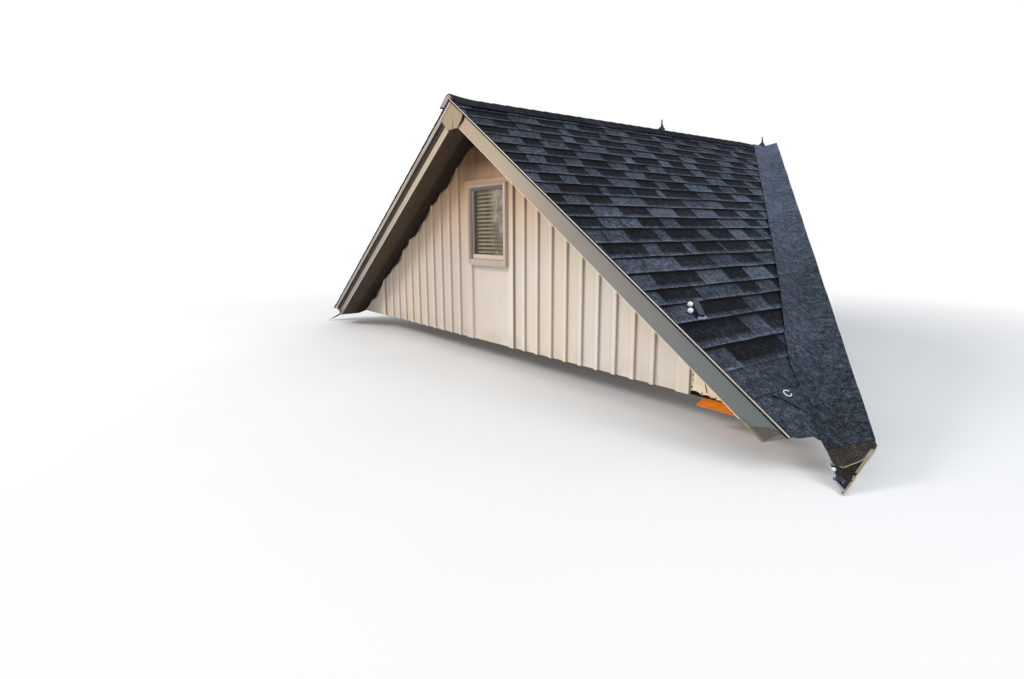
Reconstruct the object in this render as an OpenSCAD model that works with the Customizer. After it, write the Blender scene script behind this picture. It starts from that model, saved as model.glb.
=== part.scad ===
// Gable dormer window, framed over a sloping main roof.
// X runs along the gable, Y into the building, Z up. The origin is the middle of the sole plate's
// bevelled underside, in the plane of the main roof's deck. Lengths are in millimetres.

/* [Roof form] */
// Pitch of the dormer's two slopes, degrees
pitch = 34; // [30:1:37]
// Pitch of the main roof that the dormer stands on, degrees
main_pitch = 25; // [22:1:28]
// Half the width of the dormer's roof, rake end to centre
half_w = 3000; // [2700:10:3300]
// Height of the roof's front corner above the main roof
eave_h = 202; // [190:1:250]
// Roof edge to the face of the gable wall
rake_overhang = 330; // [290:5:430]
// Roof edge beyond the face of the bargeboard
edge_over = 30; // [24:1:60]

/* [Roof skin] */
// Shingles, thickness of the lapped courses
shingle_t = 12; // [10:0.5:16]
// Exposed height of one course
exposure = 143; // [125:1:170]
// Step at the butt of a course
butt_step = 7; // [4:0.5:8]
// Roof deck thickness
deck_t = 12; // [9:0.5:19]
// Shingles beyond the deck at the eave
shingle_over = 10; // [5:1:20]
// Ridge cap shingle, width on each slope
cap_w = 150; // [120:1:180]
// Ridge cap thickness
cap_t = 4; // [3:0.5:6]
// Ridge cap length
cap_l = 290; // [220:5:330]
// Posts on the ridge, height over the caps
post_h = 110; // [80:5:130]
// Post diameter at its foot
post_d = 34; // [26:1:44]
// Diameter of a post's flange
post_flange = 70; // [60:1:90]
// Height of the flange's rim over the ridge
post_foot = 18; // [16:1:26]
// First post behind the roof's front edge
post_front = 2680; // [1600:10:2900]
// Second post in front of the ridge's back end
post_back = 70; // [65:5:110]

/* [Valley] */
// Valley strip, width on the dormer's slope
strip_in = 195; // [140:5:240]
// Valley strip, width on the main roof
strip_out = 145; // [90:5:160]
// Valley strip thickness
strip_t = 4; // [3:0.5:6]
// Sheet metal flashing under the strip, thickness
flashing_t = 1; // [0.8:0.1:1.5]
// Flashing, edges inside those of the strip
flashing_inset = 20; // [5:1:40]
// Flashing beyond the strip's cut end
flashing_show = 8; // [3:1:15]
// Valley strip and flashing beyond the roof's corner, along X
tail_l = 250; // [150:5:260]

/* [Framing] */
// Width of a framing member
stock_w = 38; // [35:1:45]
// Depth of rafters and lookouts
rafter_d = 132; // [120:1:184]
// Depth of wall studs
stud_d = 89; // [75:1:100]
// Ridge board depth
ridge_d = 184; // [160:1:235]
// Width of the sleepers that the jack rafters stand on
sleeper_w = 235; // [225:1:286]
// Sleeper thickness
sleeper_t = 38; // [25:1:45]
// Spacing of rafters and studs
frame_pitch = 406; // [380:1:440]
// Spacing of lookouts, along the slope
lookout_pitch = 610; // [500:5:700]

/* [Rake trim] */
// Bargeboard thickness
board_t = 18; // [16:1:25]
// Bargeboard below the underside of the rafters
board_drop = 3; // [1:0.5:8]
// Lean of the overhang's lower end from a square cut, degrees
end_lean = 31; // [0:1:35]
// Drip edge sheet thickness
drip_t = 2; // [1:0.5:3]
// Drip edge height
drip_h = 20; // [16:1:30]
// Drip edge's lip under the deck
drip_lip = 20; // [12:1:30]
// Soffit board thickness
soffit_t = 10; // [8:1:14]
// Eave fascia thickness
fascia_t = 18; // [16:1:25]
// Left bargeboard, height of its bare upper part, where the metal wrap stops
bare_h = 58; // [0:1:80]
// Bare part behind the face of the wrap
bare_recess = 5; // [2:1:8]
// Hem folded round the bargeboard's lower edge, height
hem_h = 9; // [6:1:14]
// Hem in front of the bargeboard's face
hem_t = 4; // [2:1:6]
// Peak gusset, half width over its shoulders
gusset_w = 165; // [150:5:240]
// Peak gusset, half width at its foot
gusset_foot = 80; // [70:5:130]
// Peak gusset, height from the deck's ridge to its foot
gusset_h = 215; // [200:5:260]
// Peak gusset thickness
gusset_t = 12; // [8:1:20]

/* [Gable wall] */
// Siding thickness
siding_t = 10; // [8:1:16]
// Sheathing thickness
sheathing_t = 11; // [9:1:18]
// Siding's lower edge above the main roof, square to it
siding_gap = 12; // [8:1:40]
// Middle of the first batten right of the centre
batten_x = 571; // [550:1:600]
// Spacing of the battens on the right
batten_pitch = 168; // [150:0.5:190]
// Middle of the first batten left of the centre
batten_x_left = 427; // [410:1:460]
// Spacing of the battens on the left
batten_pitch_left = 166; // [150:1:190]
// Batten width
batten_w = 38; // [25:1:50]
// Batten thickness
batten_t = 20; // [15:1:22]
// Corner trim, its middle inside the roof's edge
trim_in = 842; // [800:1:860]
// Corner trim width
trim_w = 100; // [70:1:100]
// Membrane at the foot of the broken siding, width over the main roof
membrane_w = 70; // [60:1:100]
// Membrane, its end beyond the corner trim
membrane_in = 85; // [60:1:110]
// Membrane thickness
membrane_t = 3; // [2:0.5:5]

/* [Window] */
// Middle of the window, right of the gable's centre
win_x = 90; // [60:1:110]
// Window frame width
win_w = 562; // [540:1:600]
// Window frame height
win_h = 698; // [660:1:720]
// Window frame's head below the roof's peak
win_drop = 673; // [650:1:700]
// Face width of the window frame's sides and head
win_frame = 28; // [22:1:34]
// Face height of the window frame's sill
win_sill = 54; // [45:1:70]
// Window frame's face in front of the siding's face
win_proud = 54; // [45:1:60]
// Depth of the window frame
win_frame_d = 125; // [115:1:135]
// Sash behind the face of the frame
sash_recess = 26; // [15:1:35]
// Face width of the sash
sash_w = 20; // [16:1:28]
// Face height of the sash's bottom rail
sash_foot = 42; // [34:1:50]
// Sash depth
sash_d = 34; // [28:1:36]
// Glass thickness
glass_t = 4; // [3:0.5:6]
// Width of the casing board left of the window
casing_left = 100; // [70:1:160]
// Width of the casing board right of the window
casing_right = 68; // [60:1:100]
// Height of the casing's head board
casing_head = 48; // [45:1:70]
// Casing thickness
casing_t = 22; // [15:1:22]
// Spacing of the blind's slats
slat_pitch = 34; // [30:1:40]
// Slat width
slat_w = 25; // [22:1:28]
// Slat thickness
slat_t = 1.5; // [1:0.1:2]
// Tilt of the slats, degrees
slat_tilt = 35; // [10:1:50]
// Head rail of the blind, height
blind_head = 26; // [22:1:32]
// Ladder tape of the blind, width
tape_w = 12; // [8:1:20]
// Slats clear of the sash and of the frame's sides
blind_gap = 2; // [1:0.5:5]
// Clear space between the window frame and its framing
opening_gap = 6; // [3:1:10]
// Clear space between the sash and the frame
sash_gap = 0.5; // [0.5:0.5:3]

/* [Hidden] */

// Larger than the part, for half spaces
big = 16000;
// How far a cutter reaches past what it cuts
past = 1;

// Heights and lengths that follow from the pitches
ridge_l = (eave_h + half_w * tan(pitch)) / tan(main_pitch);
stud_back = stud_d / 2;
sheathing_y = -stud_back - sheathing_t;
siding_y = sheathing_y - siding_t;
front_y = siding_y - rake_overhang;
back_y = ridge_l + front_y;
apex_z = back_y * tan(main_pitch);
slope_l = half_w / cos(pitch);
board_y = front_y + edge_over;
fly_y = board_y + board_t;

// Depths under the roof's top plane, square to the slope
deck_foot = shingle_t + deck_t;
rafter_foot = deck_foot + rafter_d;
plate_foot = rafter_foot + stock_w;
soffit_foot = rafter_foot + soffit_t;
board_foot = rafter_foot + board_drop;

// The valley line's turn from level, seen square to the dormer's slope and to the main roof
valley_turn_in = atan(sin(pitch) / tan(main_pitch));
valley_turn_out = atan(tan(pitch) / sin(main_pitch));
// Angle between the dormer's slope and the main roof
valley_fold = acos(cos(pitch) * cos(main_pitch));

// Top of the sole plate, and the clear space round the window frame
sole_top = stock_w + stud_back * tan(main_pitch);
trimmer_x = win_w / 2 + opening_gap;
win_top = apex_z - win_drop;
win_z = win_top - win_h;
casing_y = siding_y - casing_t;
frame_y = siding_y - win_proud;
frame_x = win_w / 2 - win_frame;
sash_y = frame_y + sash_recess;
sash_x = frame_x - sash_gap;
sash_z = win_z + win_sill + sash_gap;
sash_top = win_top - win_frame - sash_gap;
glass_x = sash_x - sash_w;
glass_z = sash_z + sash_foot;
glass_top = sash_top - sash_w;
glass_y = sash_y + (sash_d - glass_t) / 2;

trim_x = half_w - trim_in;
siding_foot = siding_y * tan(main_pitch) + siding_gap / cos(main_pitch);

// Broken edge of the siding, out from the right corner trim's side and up from the siding's foot
torn_edge = [[0, -10], [0, 74], [7, 66], [3, 55], [10, 47], [4, 35], [13, 24], [8, 13], [24, 6],
             [52, 11], [84, 4], [91, 52], [99, 7], [140, 3], [156, 14], [166, 5], [188, 12],
             [204, -10]];

timber = "burlywood";
oriented_strand = "peru";
metal_wrap = "tan";
cream = "cornsilk";
slate = "slategray";
dark_brown = "#3b322b";
white_metal = "gainsboro";
membrane_orange = "darkorange";

// Half spaces and frames

module beyond_x(x) {
    intersection() {
        children();
        translate([x, -big / 2, -big / 2]) cube(big);
    }
}

module above_z(z) {
    intersection() {
        children();
        translate([-big / 2, -big / 2, z]) cube(big);
    }
}

// Above the main roof's deck, or above a plane lifted square to it
module above_main(lift = 0) {
    intersection() {
        children();
        rotate([main_pitch, 0, 0]) translate([-big / 2, -big / 2, lift]) cube(big);
    }
}

// Above the right-hand slope's top plane, or above a plane lifted square to it
module above_roof(lift = 0) {
    intersection() {
        children();
        on_slope() translate([-big / 2, -big / 2, lift]) cube(big);
    }
}

module mirrored() {
    mirror([1, 0, 0]) children();
}

// X runs down the right-hand slope from the ridge, Z square out of its top plane
module on_slope() {
    translate([0, 0, apex_z]) rotate([0, pitch, 0]) children();
}

// X runs down the valley line in the plane of the dormer's slope, Y away from the ridge
module on_valley_slope() {
    on_slope() translate([0, back_y, 0]) rotate([0, 0, -valley_turn_in]) children();
}

// X runs down the valley line in the plane of the main roof, Y away from the dormer
module on_valley() {
    rotate([main_pitch, 0, 0]) translate([0, apex_z / sin(main_pitch), 0])
        rotate([0, 0, -valley_turn_out]) children();
}

// A profile in X and Z, drawn out from one Y to another
module along_y(y0, y1) {
    translate([0, y1, 0]) rotate([90, 0, 0]) linear_extrude(y1 - y0) children();
}

// One layer of the right-hand slope between two depths, mitred at the ridge
module roof_layer(depth0, depth1, y0, y1, s1 = slope_l, lean = 0) {
    on_slope() along_y(y0, y1)
        polygon([[depth0 * tan(pitch), -depth0], [s1 - (depth0 - deck_foot) * tan(lean), -depth0],
                 [s1 - (depth1 - deck_foot) * tan(lean), -depth1], [depth1 * tan(pitch), -depth1]]);
}

// A layer of the overhang behind the bargeboard, ending on the eave fascia
module overhang_layer(depth0, depth1, y0, y1) {
    roof_layer(depth0, depth1, y0, y1, slope_l - fascia_t, end_lean);
}

// The triangle under both slopes at a depth, from z0 up
module gable(depth, y0, y1, z0) {
    top = apex_z - depth / cos(pitch);
    half = (top - z0) / tan(pitch);
    along_y(y0, y1) polygon([[-half, z0], [half, z0], [0, top]]);
}

// An upright of the gable wall, cut under both slopes at a depth
module upright(x, w, y0, y1, depth, z0) {
    intersection() {
        gable(depth, y0, y1, z0);
        translate([x - w / 2, y0, z0]) cube([w, y1 - y0, apex_z - z0]);
    }
}

module window_hole(grow, y0, y1) {
    translate([win_x - win_w / 2 - grow, y0, win_z - grow])
        cube([win_w + 2 * grow, y1 - y0, win_h + 2 * grow]);
}

// Wall framing

// Level on top and bevelled below, as long as the gable is wide over its top plates
module sole_plate() {
    half = (apex_z - rafter_foot / cos(pitch) - sole_top) / tan(pitch);
    color(timber) above_main()
        translate([-half, -stud_back, -stud_d]) cube([2 * half, stud_d, stud_d + sole_top]);
}

module stud(x) {
    upright(x, stock_w, -stud_back, stud_back, plate_foot, sole_top);
}

// Studs at even spacing, but for those that the window's king studs stand in for
module studs() {
    clear_x = trimmer_x + 1.5 * stock_w;
    count = floor((half_w - rafter_foot / sin(pitch)) / frame_pitch);
    color(timber) for (i = [-count:count])
        if (abs(i * frame_pitch - win_x) > clear_x) stud(i * frame_pitch);
}

// King studs beside the opening, with a header, a rough sill and a cripple stud
module window_framing() {
    sill_z = win_z - opening_gap - stock_w;
    color(timber) {
        for (side = [-1, 1]) stud(win_x + side * (trimmer_x + stock_w / 2));
        for (z = [sill_z, win_top + opening_gap])
            translate([win_x - trimmer_x, -stud_back, z]) cube([2 * trimmer_x, stud_d, stock_w]);
        translate([win_x - stock_w / 2, -stud_back, sole_top])
            cube([stock_w, stud_d, sill_z - sole_top]);
    }
}

module top_plate() {
    above_z(sole_top) roof_layer(rafter_foot, plate_foot, -stud_back, stud_back);
}

module top_plate_right() color(timber) top_plate();
module top_plate_left() color(timber) mirrored() top_plate();

// Roof framing

// Its top edge is bevelled both ways under the deck, its back end is cut to the sleepers
module ridge_board() {
    top = apex_z - deck_foot / cos(pitch);
    half = stock_w / 2;
    color(timber) above_main(sleeper_t) along_y(fly_y, back_y)
        polygon([[-half, top - ridge_d], [half, top - ridge_d], [half, top - half * tan(pitch)],
                 [0, top], [-half, top - half * tan(pitch)]]);
}

// Jack rafters, cut plumb at the ridge board and on the bevel at the valley sleeper
module rafters() {
    last_y = (apex_z - rafter_foot - sleeper_t / cos(main_pitch)) / tan(main_pitch);
    above_main(sleeper_t) beyond_x(stock_w / 2)
        for (y = [stud_back:frame_pitch:last_y])
            roof_layer(deck_foot, rafter_foot, y, y + stock_w);
}

module rafters_right() color(timber) rafters();
module rafters_left() color(timber) mirrored() rafters();

// A plank on the main roof, its outer edge bevelled under the deck; the pair meets at the back
module valley_sleeper() {
    wide = sleeper_w + deck_foot / sin(valley_fold);
    beyond_x(0) intersection() {
        on_valley() translate([0, -wide, 0]) cube([big / 2, wide, sleeper_t]);
        overhang_layer(deck_foot, 2 * rafter_foot, -stud_back, big / 2);
    }
}

module valley_sleeper_right() color(timber) valley_sleeper();
module valley_sleeper_left() color(timber) mirrored() valley_sleeper();

// Fly rafter behind the bargeboard, with the lookouts that carry it over the top plate
module overhang_framing() {
    back = fly_y + stock_w;
    last_s = slope_l - fascia_t - rafter_d * tan(end_lean) - stock_w;
    above_main() beyond_x(stock_w / 2) {
        overhang_layer(deck_foot, rafter_foot, fly_y, back);
        for (s = [lookout_pitch:lookout_pitch:last_s])
            on_slope() translate([s, back, -rafter_foot]) cube([stock_w, stud_back - back, rafter_d]);
    }
}

module overhang_framing_right() color(timber) overhang_framing();
module overhang_framing_left() color(timber) mirrored() overhang_framing();

// Roof skin

module deck() {
    above_main() roof_layer(shingle_t, deck_foot, front_y, back_y);
}

module deck_right() color(oriented_strand) deck();
module deck_left() color(oriented_strand) mirrored() deck();

// Each course rises to its butt, and steps down there to the course below it
function course_points(s) =
    [for (k = [0:ceil(s / exposure)]) each
        [[s - k * exposure, 0], [s - (k + 1) * exposure, -butt_step]]];

module shingles() {
    s1 = slope_l + shingle_over;
    above_main() beyond_x(0) on_slope() along_y(front_y, back_y)
        polygon(concat([[s1, -shingle_t]], course_points(s1), [[-2 * exposure, -shingle_t]]));
}

module shingles_right() color(slate) shingles();
module shingles_left() color(slate) mirrored() shingles();

// One folded cap shingle, its front edge at the origin
module ridge_cap() {
    for (side = [0, 1]) mirror([side, 0, 0]) beyond_x(0)
        rotate([0, pitch, 0]) translate([-cap_w, 0, 0]) cube([2 * cap_w, cap_l, cap_t]);
}

// Caps lapped along the ridge up to the valley strips, each with its front edge on the one before
module ridge_caps() {
    lap_tilt = atan(cap_t / cos(pitch) / exposure);
    lift = cap_l * tan(lap_tilt);
    last_y = back_y - strip_in / cos(valley_turn_in) - cap_l;
    color(slate) for (y = [front_y:exposure:last_y])
        translate([0, y, apex_z + lift]) rotate([-lap_tilt, 0, 0]) ridge_cap();
}

// A tapered post with a low lug behind it, on a conical flange
module ridge_post() {
    lug_d = post_d / 2;
    translate([0, 0, apex_z - post_flange / 2]) {
        cylinder(h = post_flange / 2 + post_foot, d = post_flange);
        translate([0, 0, post_flange / 2 + post_foot])
            cylinder(h = post_foot, d1 = post_flange, d2 = post_d);
        cylinder(h = post_flange / 2 + post_h, d1 = post_d, d2 = post_d / 3);
        translate([0, lug_d, 0]) cylinder(h = post_flange / 2 + post_h / 2, d = lug_d);
    }
}

// A sheet folded into the valley, with one leaf on the dormer's slope and one on the main roof.
// Its tail is cut off in line with the roof's front and past the eave, leaving an edge to show.
module valley_sheet(lift, thick, inner, outer, show) {
    leaf = [big / 2, inner + outer, thick];
    beyond_x(0) intersection() {
        union() {
            above_main(lift) on_valley_slope() translate([0, -inner, lift]) cube(leaf);
            above_roof(lift) on_valley() translate([0, -inner, lift]) cube(leaf);
        }
        translate([-past, front_y - show, -big / 2])
            cube([half_w + tail_l + show + past, big, big]);
    }
}

module valley_flashing() {
    valley_sheet(0, flashing_t, strip_in - flashing_inset, strip_out - flashing_inset,
        flashing_show);
}

module valley_strip() {
    valley_sheet(flashing_t, strip_t, strip_in, strip_out, 0);
}

// The first post stands on the caps, the second where the valley strips meet
module ridge_posts() {
    color(dark_brown) {
        difference() {
            translate([0, front_y + post_front, 0]) ridge_post();
            gable(-1.4 * cap_t, front_y, back_y, 0);
            ridge_caps();
        }
        difference() {
            translate([0, back_y - post_back, 0]) ridge_post();
            gable(-flashing_t - strip_t / 2, front_y, back_y, 0);
            for (side = [0, 1]) mirror([side, 0, 0]) valley_strip();
        }
    }
}

module valley_strip_right() color(slate) valley_strip();
module valley_strip_left() color(slate) mirrored() valley_strip();

module valley_flashing_right() color(white_metal) valley_flashing();
module valley_flashing_left() color(white_metal) mirrored() valley_flashing();

// Rake trim

// Its hem stops short of the gusset
module bargeboard() {
    roof_layer(deck_foot, board_foot, board_y, fly_y, slope_l, end_lean);
    beyond_x(gusset_w)
        roof_layer(board_foot - hem_h, board_foot, board_y - hem_t, board_y, slope_l, end_lean);
}

// The bare upper part of the left board lies behind the face of the wrap
module bare_cut() {
    on_slope() along_y(board_y - past, board_y + bare_recess)
        translate([-big / 2, -deck_foot - bare_h]) square([big, deck_foot + bare_h]);
}

module bargeboard_right() color(metal_wrap) bargeboard();

module bargeboard_left() {
    color(metal_wrap) mirrored() difference() {
        bargeboard();
        bare_cut();
    }
}

// A plate over the bargeboards' mitre
module peak_gusset() {
    top = apex_z - deck_foot / cos(pitch);
    shoulder = top - gusset_w * tan(pitch);
    color(metal_wrap) along_y(board_y - gusset_t, board_y)
        polygon([[0, top], [gusset_w, shoulder], [gusset_foot, top - gusset_h],
                 [-gusset_foot, top - gusset_h], [-gusset_w, shoulder]]);
}

// A folded sheet: its face covers the deck's front edge, its lip turns in under the deck
module drip_edge() {
    foot = deck_foot + drip_t;
    roof_layer(foot - drip_h, foot, front_y - drip_t, front_y);
    roof_layer(deck_foot, foot, front_y, front_y + drip_lip);
}

module drip_edge_right() color(white_metal) drip_edge();
module drip_edge_left() color(white_metal) mirrored() drip_edge();

module soffit() {
    above_main() overhang_layer(rafter_foot, soffit_foot, fly_y, siding_y);
}

module soffit_right() color(dark_brown) soffit();
module soffit_left() color(dark_brown) mirrored() soffit();

// Closes the end of the overhang, tapered along the main roof
module eave_fascia() {
    lean_in = rafter_d * tan(end_lean);
    above_main() on_slope() along_y(fly_y, back_y)
        polygon([[slope_l - fascia_t, -deck_foot], [slope_l, -deck_foot],
                 [slope_l - lean_in, -rafter_foot], [slope_l - fascia_t - lean_in, -rafter_foot]]);
}

module eave_fascia_right() color(metal_wrap) eave_fascia();
module eave_fascia_left() color(metal_wrap) mirrored() eave_fascia();

// Gable wall

module gable_sheathing() {
    color(oriented_strand) above_main() difference() {
        gable(rafter_foot, sheathing_y, -stud_back, -stud_d);
        window_hole(opening_gap, sheathing_y - past, -stud_back + past);
    }
}

// Broken away at its right-hand foot
module siding() {
    color(cream) above_main(siding_gap) difference() {
        gable(rafter_foot, siding_y, sheathing_y, -stud_d);
        window_hole(0, siding_y - past, sheathing_y + past);
        translate([trim_x + trim_w / 2, 0, siding_foot]) along_y(siding_y - past, sheathing_y + past)
            polygon(torn_edge);
    }
}

// Left bare by the broken siding, from the sheathing out over the main roof
module foot_membrane() {
    start = trim_x + trim_w / 2 + membrane_in;
    color(membrane_orange) intersection() {
        gable(soffit_foot, sheathing_y - membrane_w, sheathing_y, -stud_d);
        beyond_x(start) rotate([main_pitch, 0, 0])
            translate([0, -big / 2, 0]) cube([big / 2, big, membrane_t]);
    }
}

// Battens from the casing out to the corner trim
module battens(first, spacing) {
    above_main(siding_gap) for (x = [first:spacing:trim_x - trim_w / 2 - batten_w])
        upright(x, batten_w, siding_y - batten_t, siding_y, soffit_foot, -stud_d);
}

module battens_right() color(cream) battens(batten_x, batten_pitch);
module battens_left() color(cream) mirrored() battens(batten_x_left, batten_pitch_left);

module corner_trim() {
    above_main(siding_gap)
        upright(trim_x, trim_w, siding_y - casing_t, siding_y, soffit_foot, -stud_d);
}

module corner_trim_right() color(cream) corner_trim();
module corner_trim_left() color(cream) mirrored() corner_trim();

// Window

// Side boards that run down to the main roof, with a head board across them
module window_casing() {
    left = win_x - win_w / 2;
    right = win_x + win_w / 2;
    color(cream) above_main(siding_gap) {
        translate([left - casing_left, casing_y, -stud_d])
            cube([casing_left, casing_t, win_top + stud_d]);
        translate([right, casing_y, -stud_d]) cube([casing_right, casing_t, win_top + stud_d]);
        translate([left - casing_left, casing_y, win_top])
            cube([casing_left + win_w + casing_right, casing_t, casing_head]);
    }
}

module window_frame() {
    color("white") difference() {
        translate([win_x - win_w / 2, frame_y, win_z]) cube([win_w, win_frame_d, win_h]);
        translate([win_x - frame_x, frame_y - past, win_z + win_sill])
            cube([2 * frame_x, win_frame_d + 2 * past, win_h - win_frame - win_sill]);
    }
}

module window_sash() {
    color("white") difference() {
        translate([win_x - sash_x, sash_y, sash_z]) cube([2 * sash_x, sash_d, sash_top - sash_z]);
        translate([win_x - glass_x, sash_y - past, glass_z])
            cube([2 * glass_x, sash_d + 2 * past, glass_top - glass_z]);
    }
}

module window_glass() {
    color("darkseagreen", 0.5) translate([win_x - glass_x, glass_y, glass_z])
        cube([2 * glass_x, glass_t, glass_top - glass_z]);
}

// A head rail and tilted slats, hung on two ladder tapes behind the sash
module window_blind() {
    rail_top = win_top - win_frame;
    blind_y = sash_y + sash_d + slat_w / 2 + blind_gap;
    foot = win_z + win_sill + slat_w;
    color("ivory") translate([win_x, blind_y, 0]) {
        translate([-frame_x, -slat_w / 2, rail_top - blind_head])
            cube([2 * frame_x, slat_w, blind_head]);
        for (z = [rail_top - blind_head - slat_pitch / 2:-slat_pitch:foot])
            translate([0, 0, z]) rotate([slat_tilt, 0, 0])
                cube([2 * (frame_x - blind_gap), slat_w, slat_t], center = true);
        for (side = [-1, 1])
            translate([side * frame_x / 2 - tape_w / 2, -slat_t / 2, foot])
                cube([tape_w, slat_t, rail_top - blind_head - foot]);
    }
}

sole_plate();
studs();
window_framing();
top_plate_left();
top_plate_right();
ridge_board();
rafters_left();
rafters_right();
valley_sleeper_left();
valley_sleeper_right();
overhang_framing_left();
overhang_framing_right();
deck_left();
deck_right();
shingles_left();
shingles_right();
ridge_caps();
ridge_posts();
valley_strip_left();
valley_strip_right();
valley_flashing_left();
valley_flashing_right();
bargeboard_left();
bargeboard_right();
peak_gusset();
drip_edge_left();
drip_edge_right();
soffit_left();
soffit_right();
eave_fascia_left();
eave_fascia_right();
gable_sheathing();
siding();
foot_membrane();
battens_left();
battens_right();
corner_trim_left();
corner_trim_right();
window_casing();
window_frame();
window_sash();
window_glass();
window_blind();
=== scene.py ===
"""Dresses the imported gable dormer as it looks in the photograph. Lengths are in metres."""

import math
import random

import bmesh
import bpy
from mathutils import Matrix, Vector
from mathutils.geometry import tessellate_polygon


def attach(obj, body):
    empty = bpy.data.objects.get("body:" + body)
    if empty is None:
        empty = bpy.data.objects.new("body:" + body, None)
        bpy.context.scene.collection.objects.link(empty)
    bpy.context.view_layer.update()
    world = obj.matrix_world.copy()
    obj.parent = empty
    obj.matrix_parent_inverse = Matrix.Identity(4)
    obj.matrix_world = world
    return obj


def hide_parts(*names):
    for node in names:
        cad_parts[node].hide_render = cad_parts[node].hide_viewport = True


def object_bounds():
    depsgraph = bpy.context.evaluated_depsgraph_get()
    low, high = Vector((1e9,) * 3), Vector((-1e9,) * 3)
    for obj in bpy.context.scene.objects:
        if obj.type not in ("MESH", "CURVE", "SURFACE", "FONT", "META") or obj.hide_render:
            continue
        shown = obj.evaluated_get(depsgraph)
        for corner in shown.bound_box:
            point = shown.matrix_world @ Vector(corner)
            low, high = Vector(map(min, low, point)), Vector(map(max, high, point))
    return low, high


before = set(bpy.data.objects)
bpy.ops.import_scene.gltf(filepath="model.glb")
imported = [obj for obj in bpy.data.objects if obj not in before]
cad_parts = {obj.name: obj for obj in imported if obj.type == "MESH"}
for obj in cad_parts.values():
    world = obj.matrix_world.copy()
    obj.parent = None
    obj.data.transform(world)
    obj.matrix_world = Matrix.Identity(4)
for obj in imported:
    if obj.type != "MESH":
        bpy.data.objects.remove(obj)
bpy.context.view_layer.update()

SIDES = {1: "right", -1: "left"}

# Driving sizes of the part that the pieces here follow: slopes, eave and gable
PITCH = math.radians(34)
MAIN_PITCH = math.radians(25)
HALF_W = 3.0
EAVE_H = 0.202
FRONT_Y = -0.3955
SIDING_Y = -0.0655
SIDING_GAP = 0.012
DECK_FOOT = 0.024
SOFFIT_FOOT = 0.166

# Valley strips and their tail
STRIP_IN = 0.195
STRIP_OUT = 0.145
STRIP_END = 6.9
TAIL_L = 0.250

# Bargeboards and gusset
BOARD_Y = FRONT_Y + 0.030
BOARD_FOOT = 0.159
BOARD_T = 0.018
WRAP_TOP = 0.105
LEFT_DROP = 0.007
BARE_RECESS = 0.005
END_LEAN = math.radians(31)
GUSSET_W = 0.165
GUSSET_FOOT = 0.080
GUSSET_H = 0.215
GUSSET_T = 0.012

# Boards on the siding: the battens of each side start at the first place and stand apart by the second
BATTEN_W = 0.038
BATTEN_T = 0.020
CASING_T = 0.022
FIRST_BATTENS = {1: (0.571, 0.168), -1: (0.427, 0.166)}
TRIM_X = 2.158
TRIM_W = 0.100

# What follows from them
PITCH_COS = math.cos(PITCH)
PITCH_SIN = math.sin(PITCH)
PITCH_TAN = math.tan(PITCH)
MAIN_COS = math.cos(MAIN_PITCH)
MAIN_SIN = math.sin(MAIN_PITCH)
MAIN_TAN = math.tan(MAIN_PITCH)
SLOPE_L = HALF_W / PITCH_COS
BACK_Y = (EAVE_H + HALF_W * PITCH_TAN) / MAIN_TAN + FRONT_Y
APEX_Z = BACK_Y * MAIN_TAN
VALLEY_RUN = PITCH_TAN / MAIN_TAN
VALLEY_SLANT = VALLEY_RUN * PITCH_COS
VALLEY_UNIT = math.hypot(1, VALLEY_SLANT)
TAIL_X = HALF_W + TAIL_L


def slope_point(side, s, y, lift=0.0):
    """A point s down one slope from the ridge, lifted square to its top plane."""
    x = s * PITCH_COS + lift * PITCH_SIN
    z = APEX_Z - s * PITCH_SIN + lift * PITCH_COS
    return Vector((side * x, y, z))


def main_point(side, x, w, lift):
    """A point on the plane that the dormer stands on, w up its slope, lifted square to it."""
    y = w * MAIN_COS - lift * MAIN_SIN
    z = w * MAIN_SIN + lift * MAIN_COS
    return Vector((side * x, y, z))


def upright(point, y):
    """An (x, z) point on the upright plane at y."""
    return Vector((point[0], y, point[1]))


def valley_y(s):
    """Where the valley line crosses a given distance down the slope."""
    return BACK_Y - s * VALLEY_SLANT


def turns(count):
    return [2 * math.pi * i / count for i in range(count)]


# Meshes

LEAST_AREA = 1e-5


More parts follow.
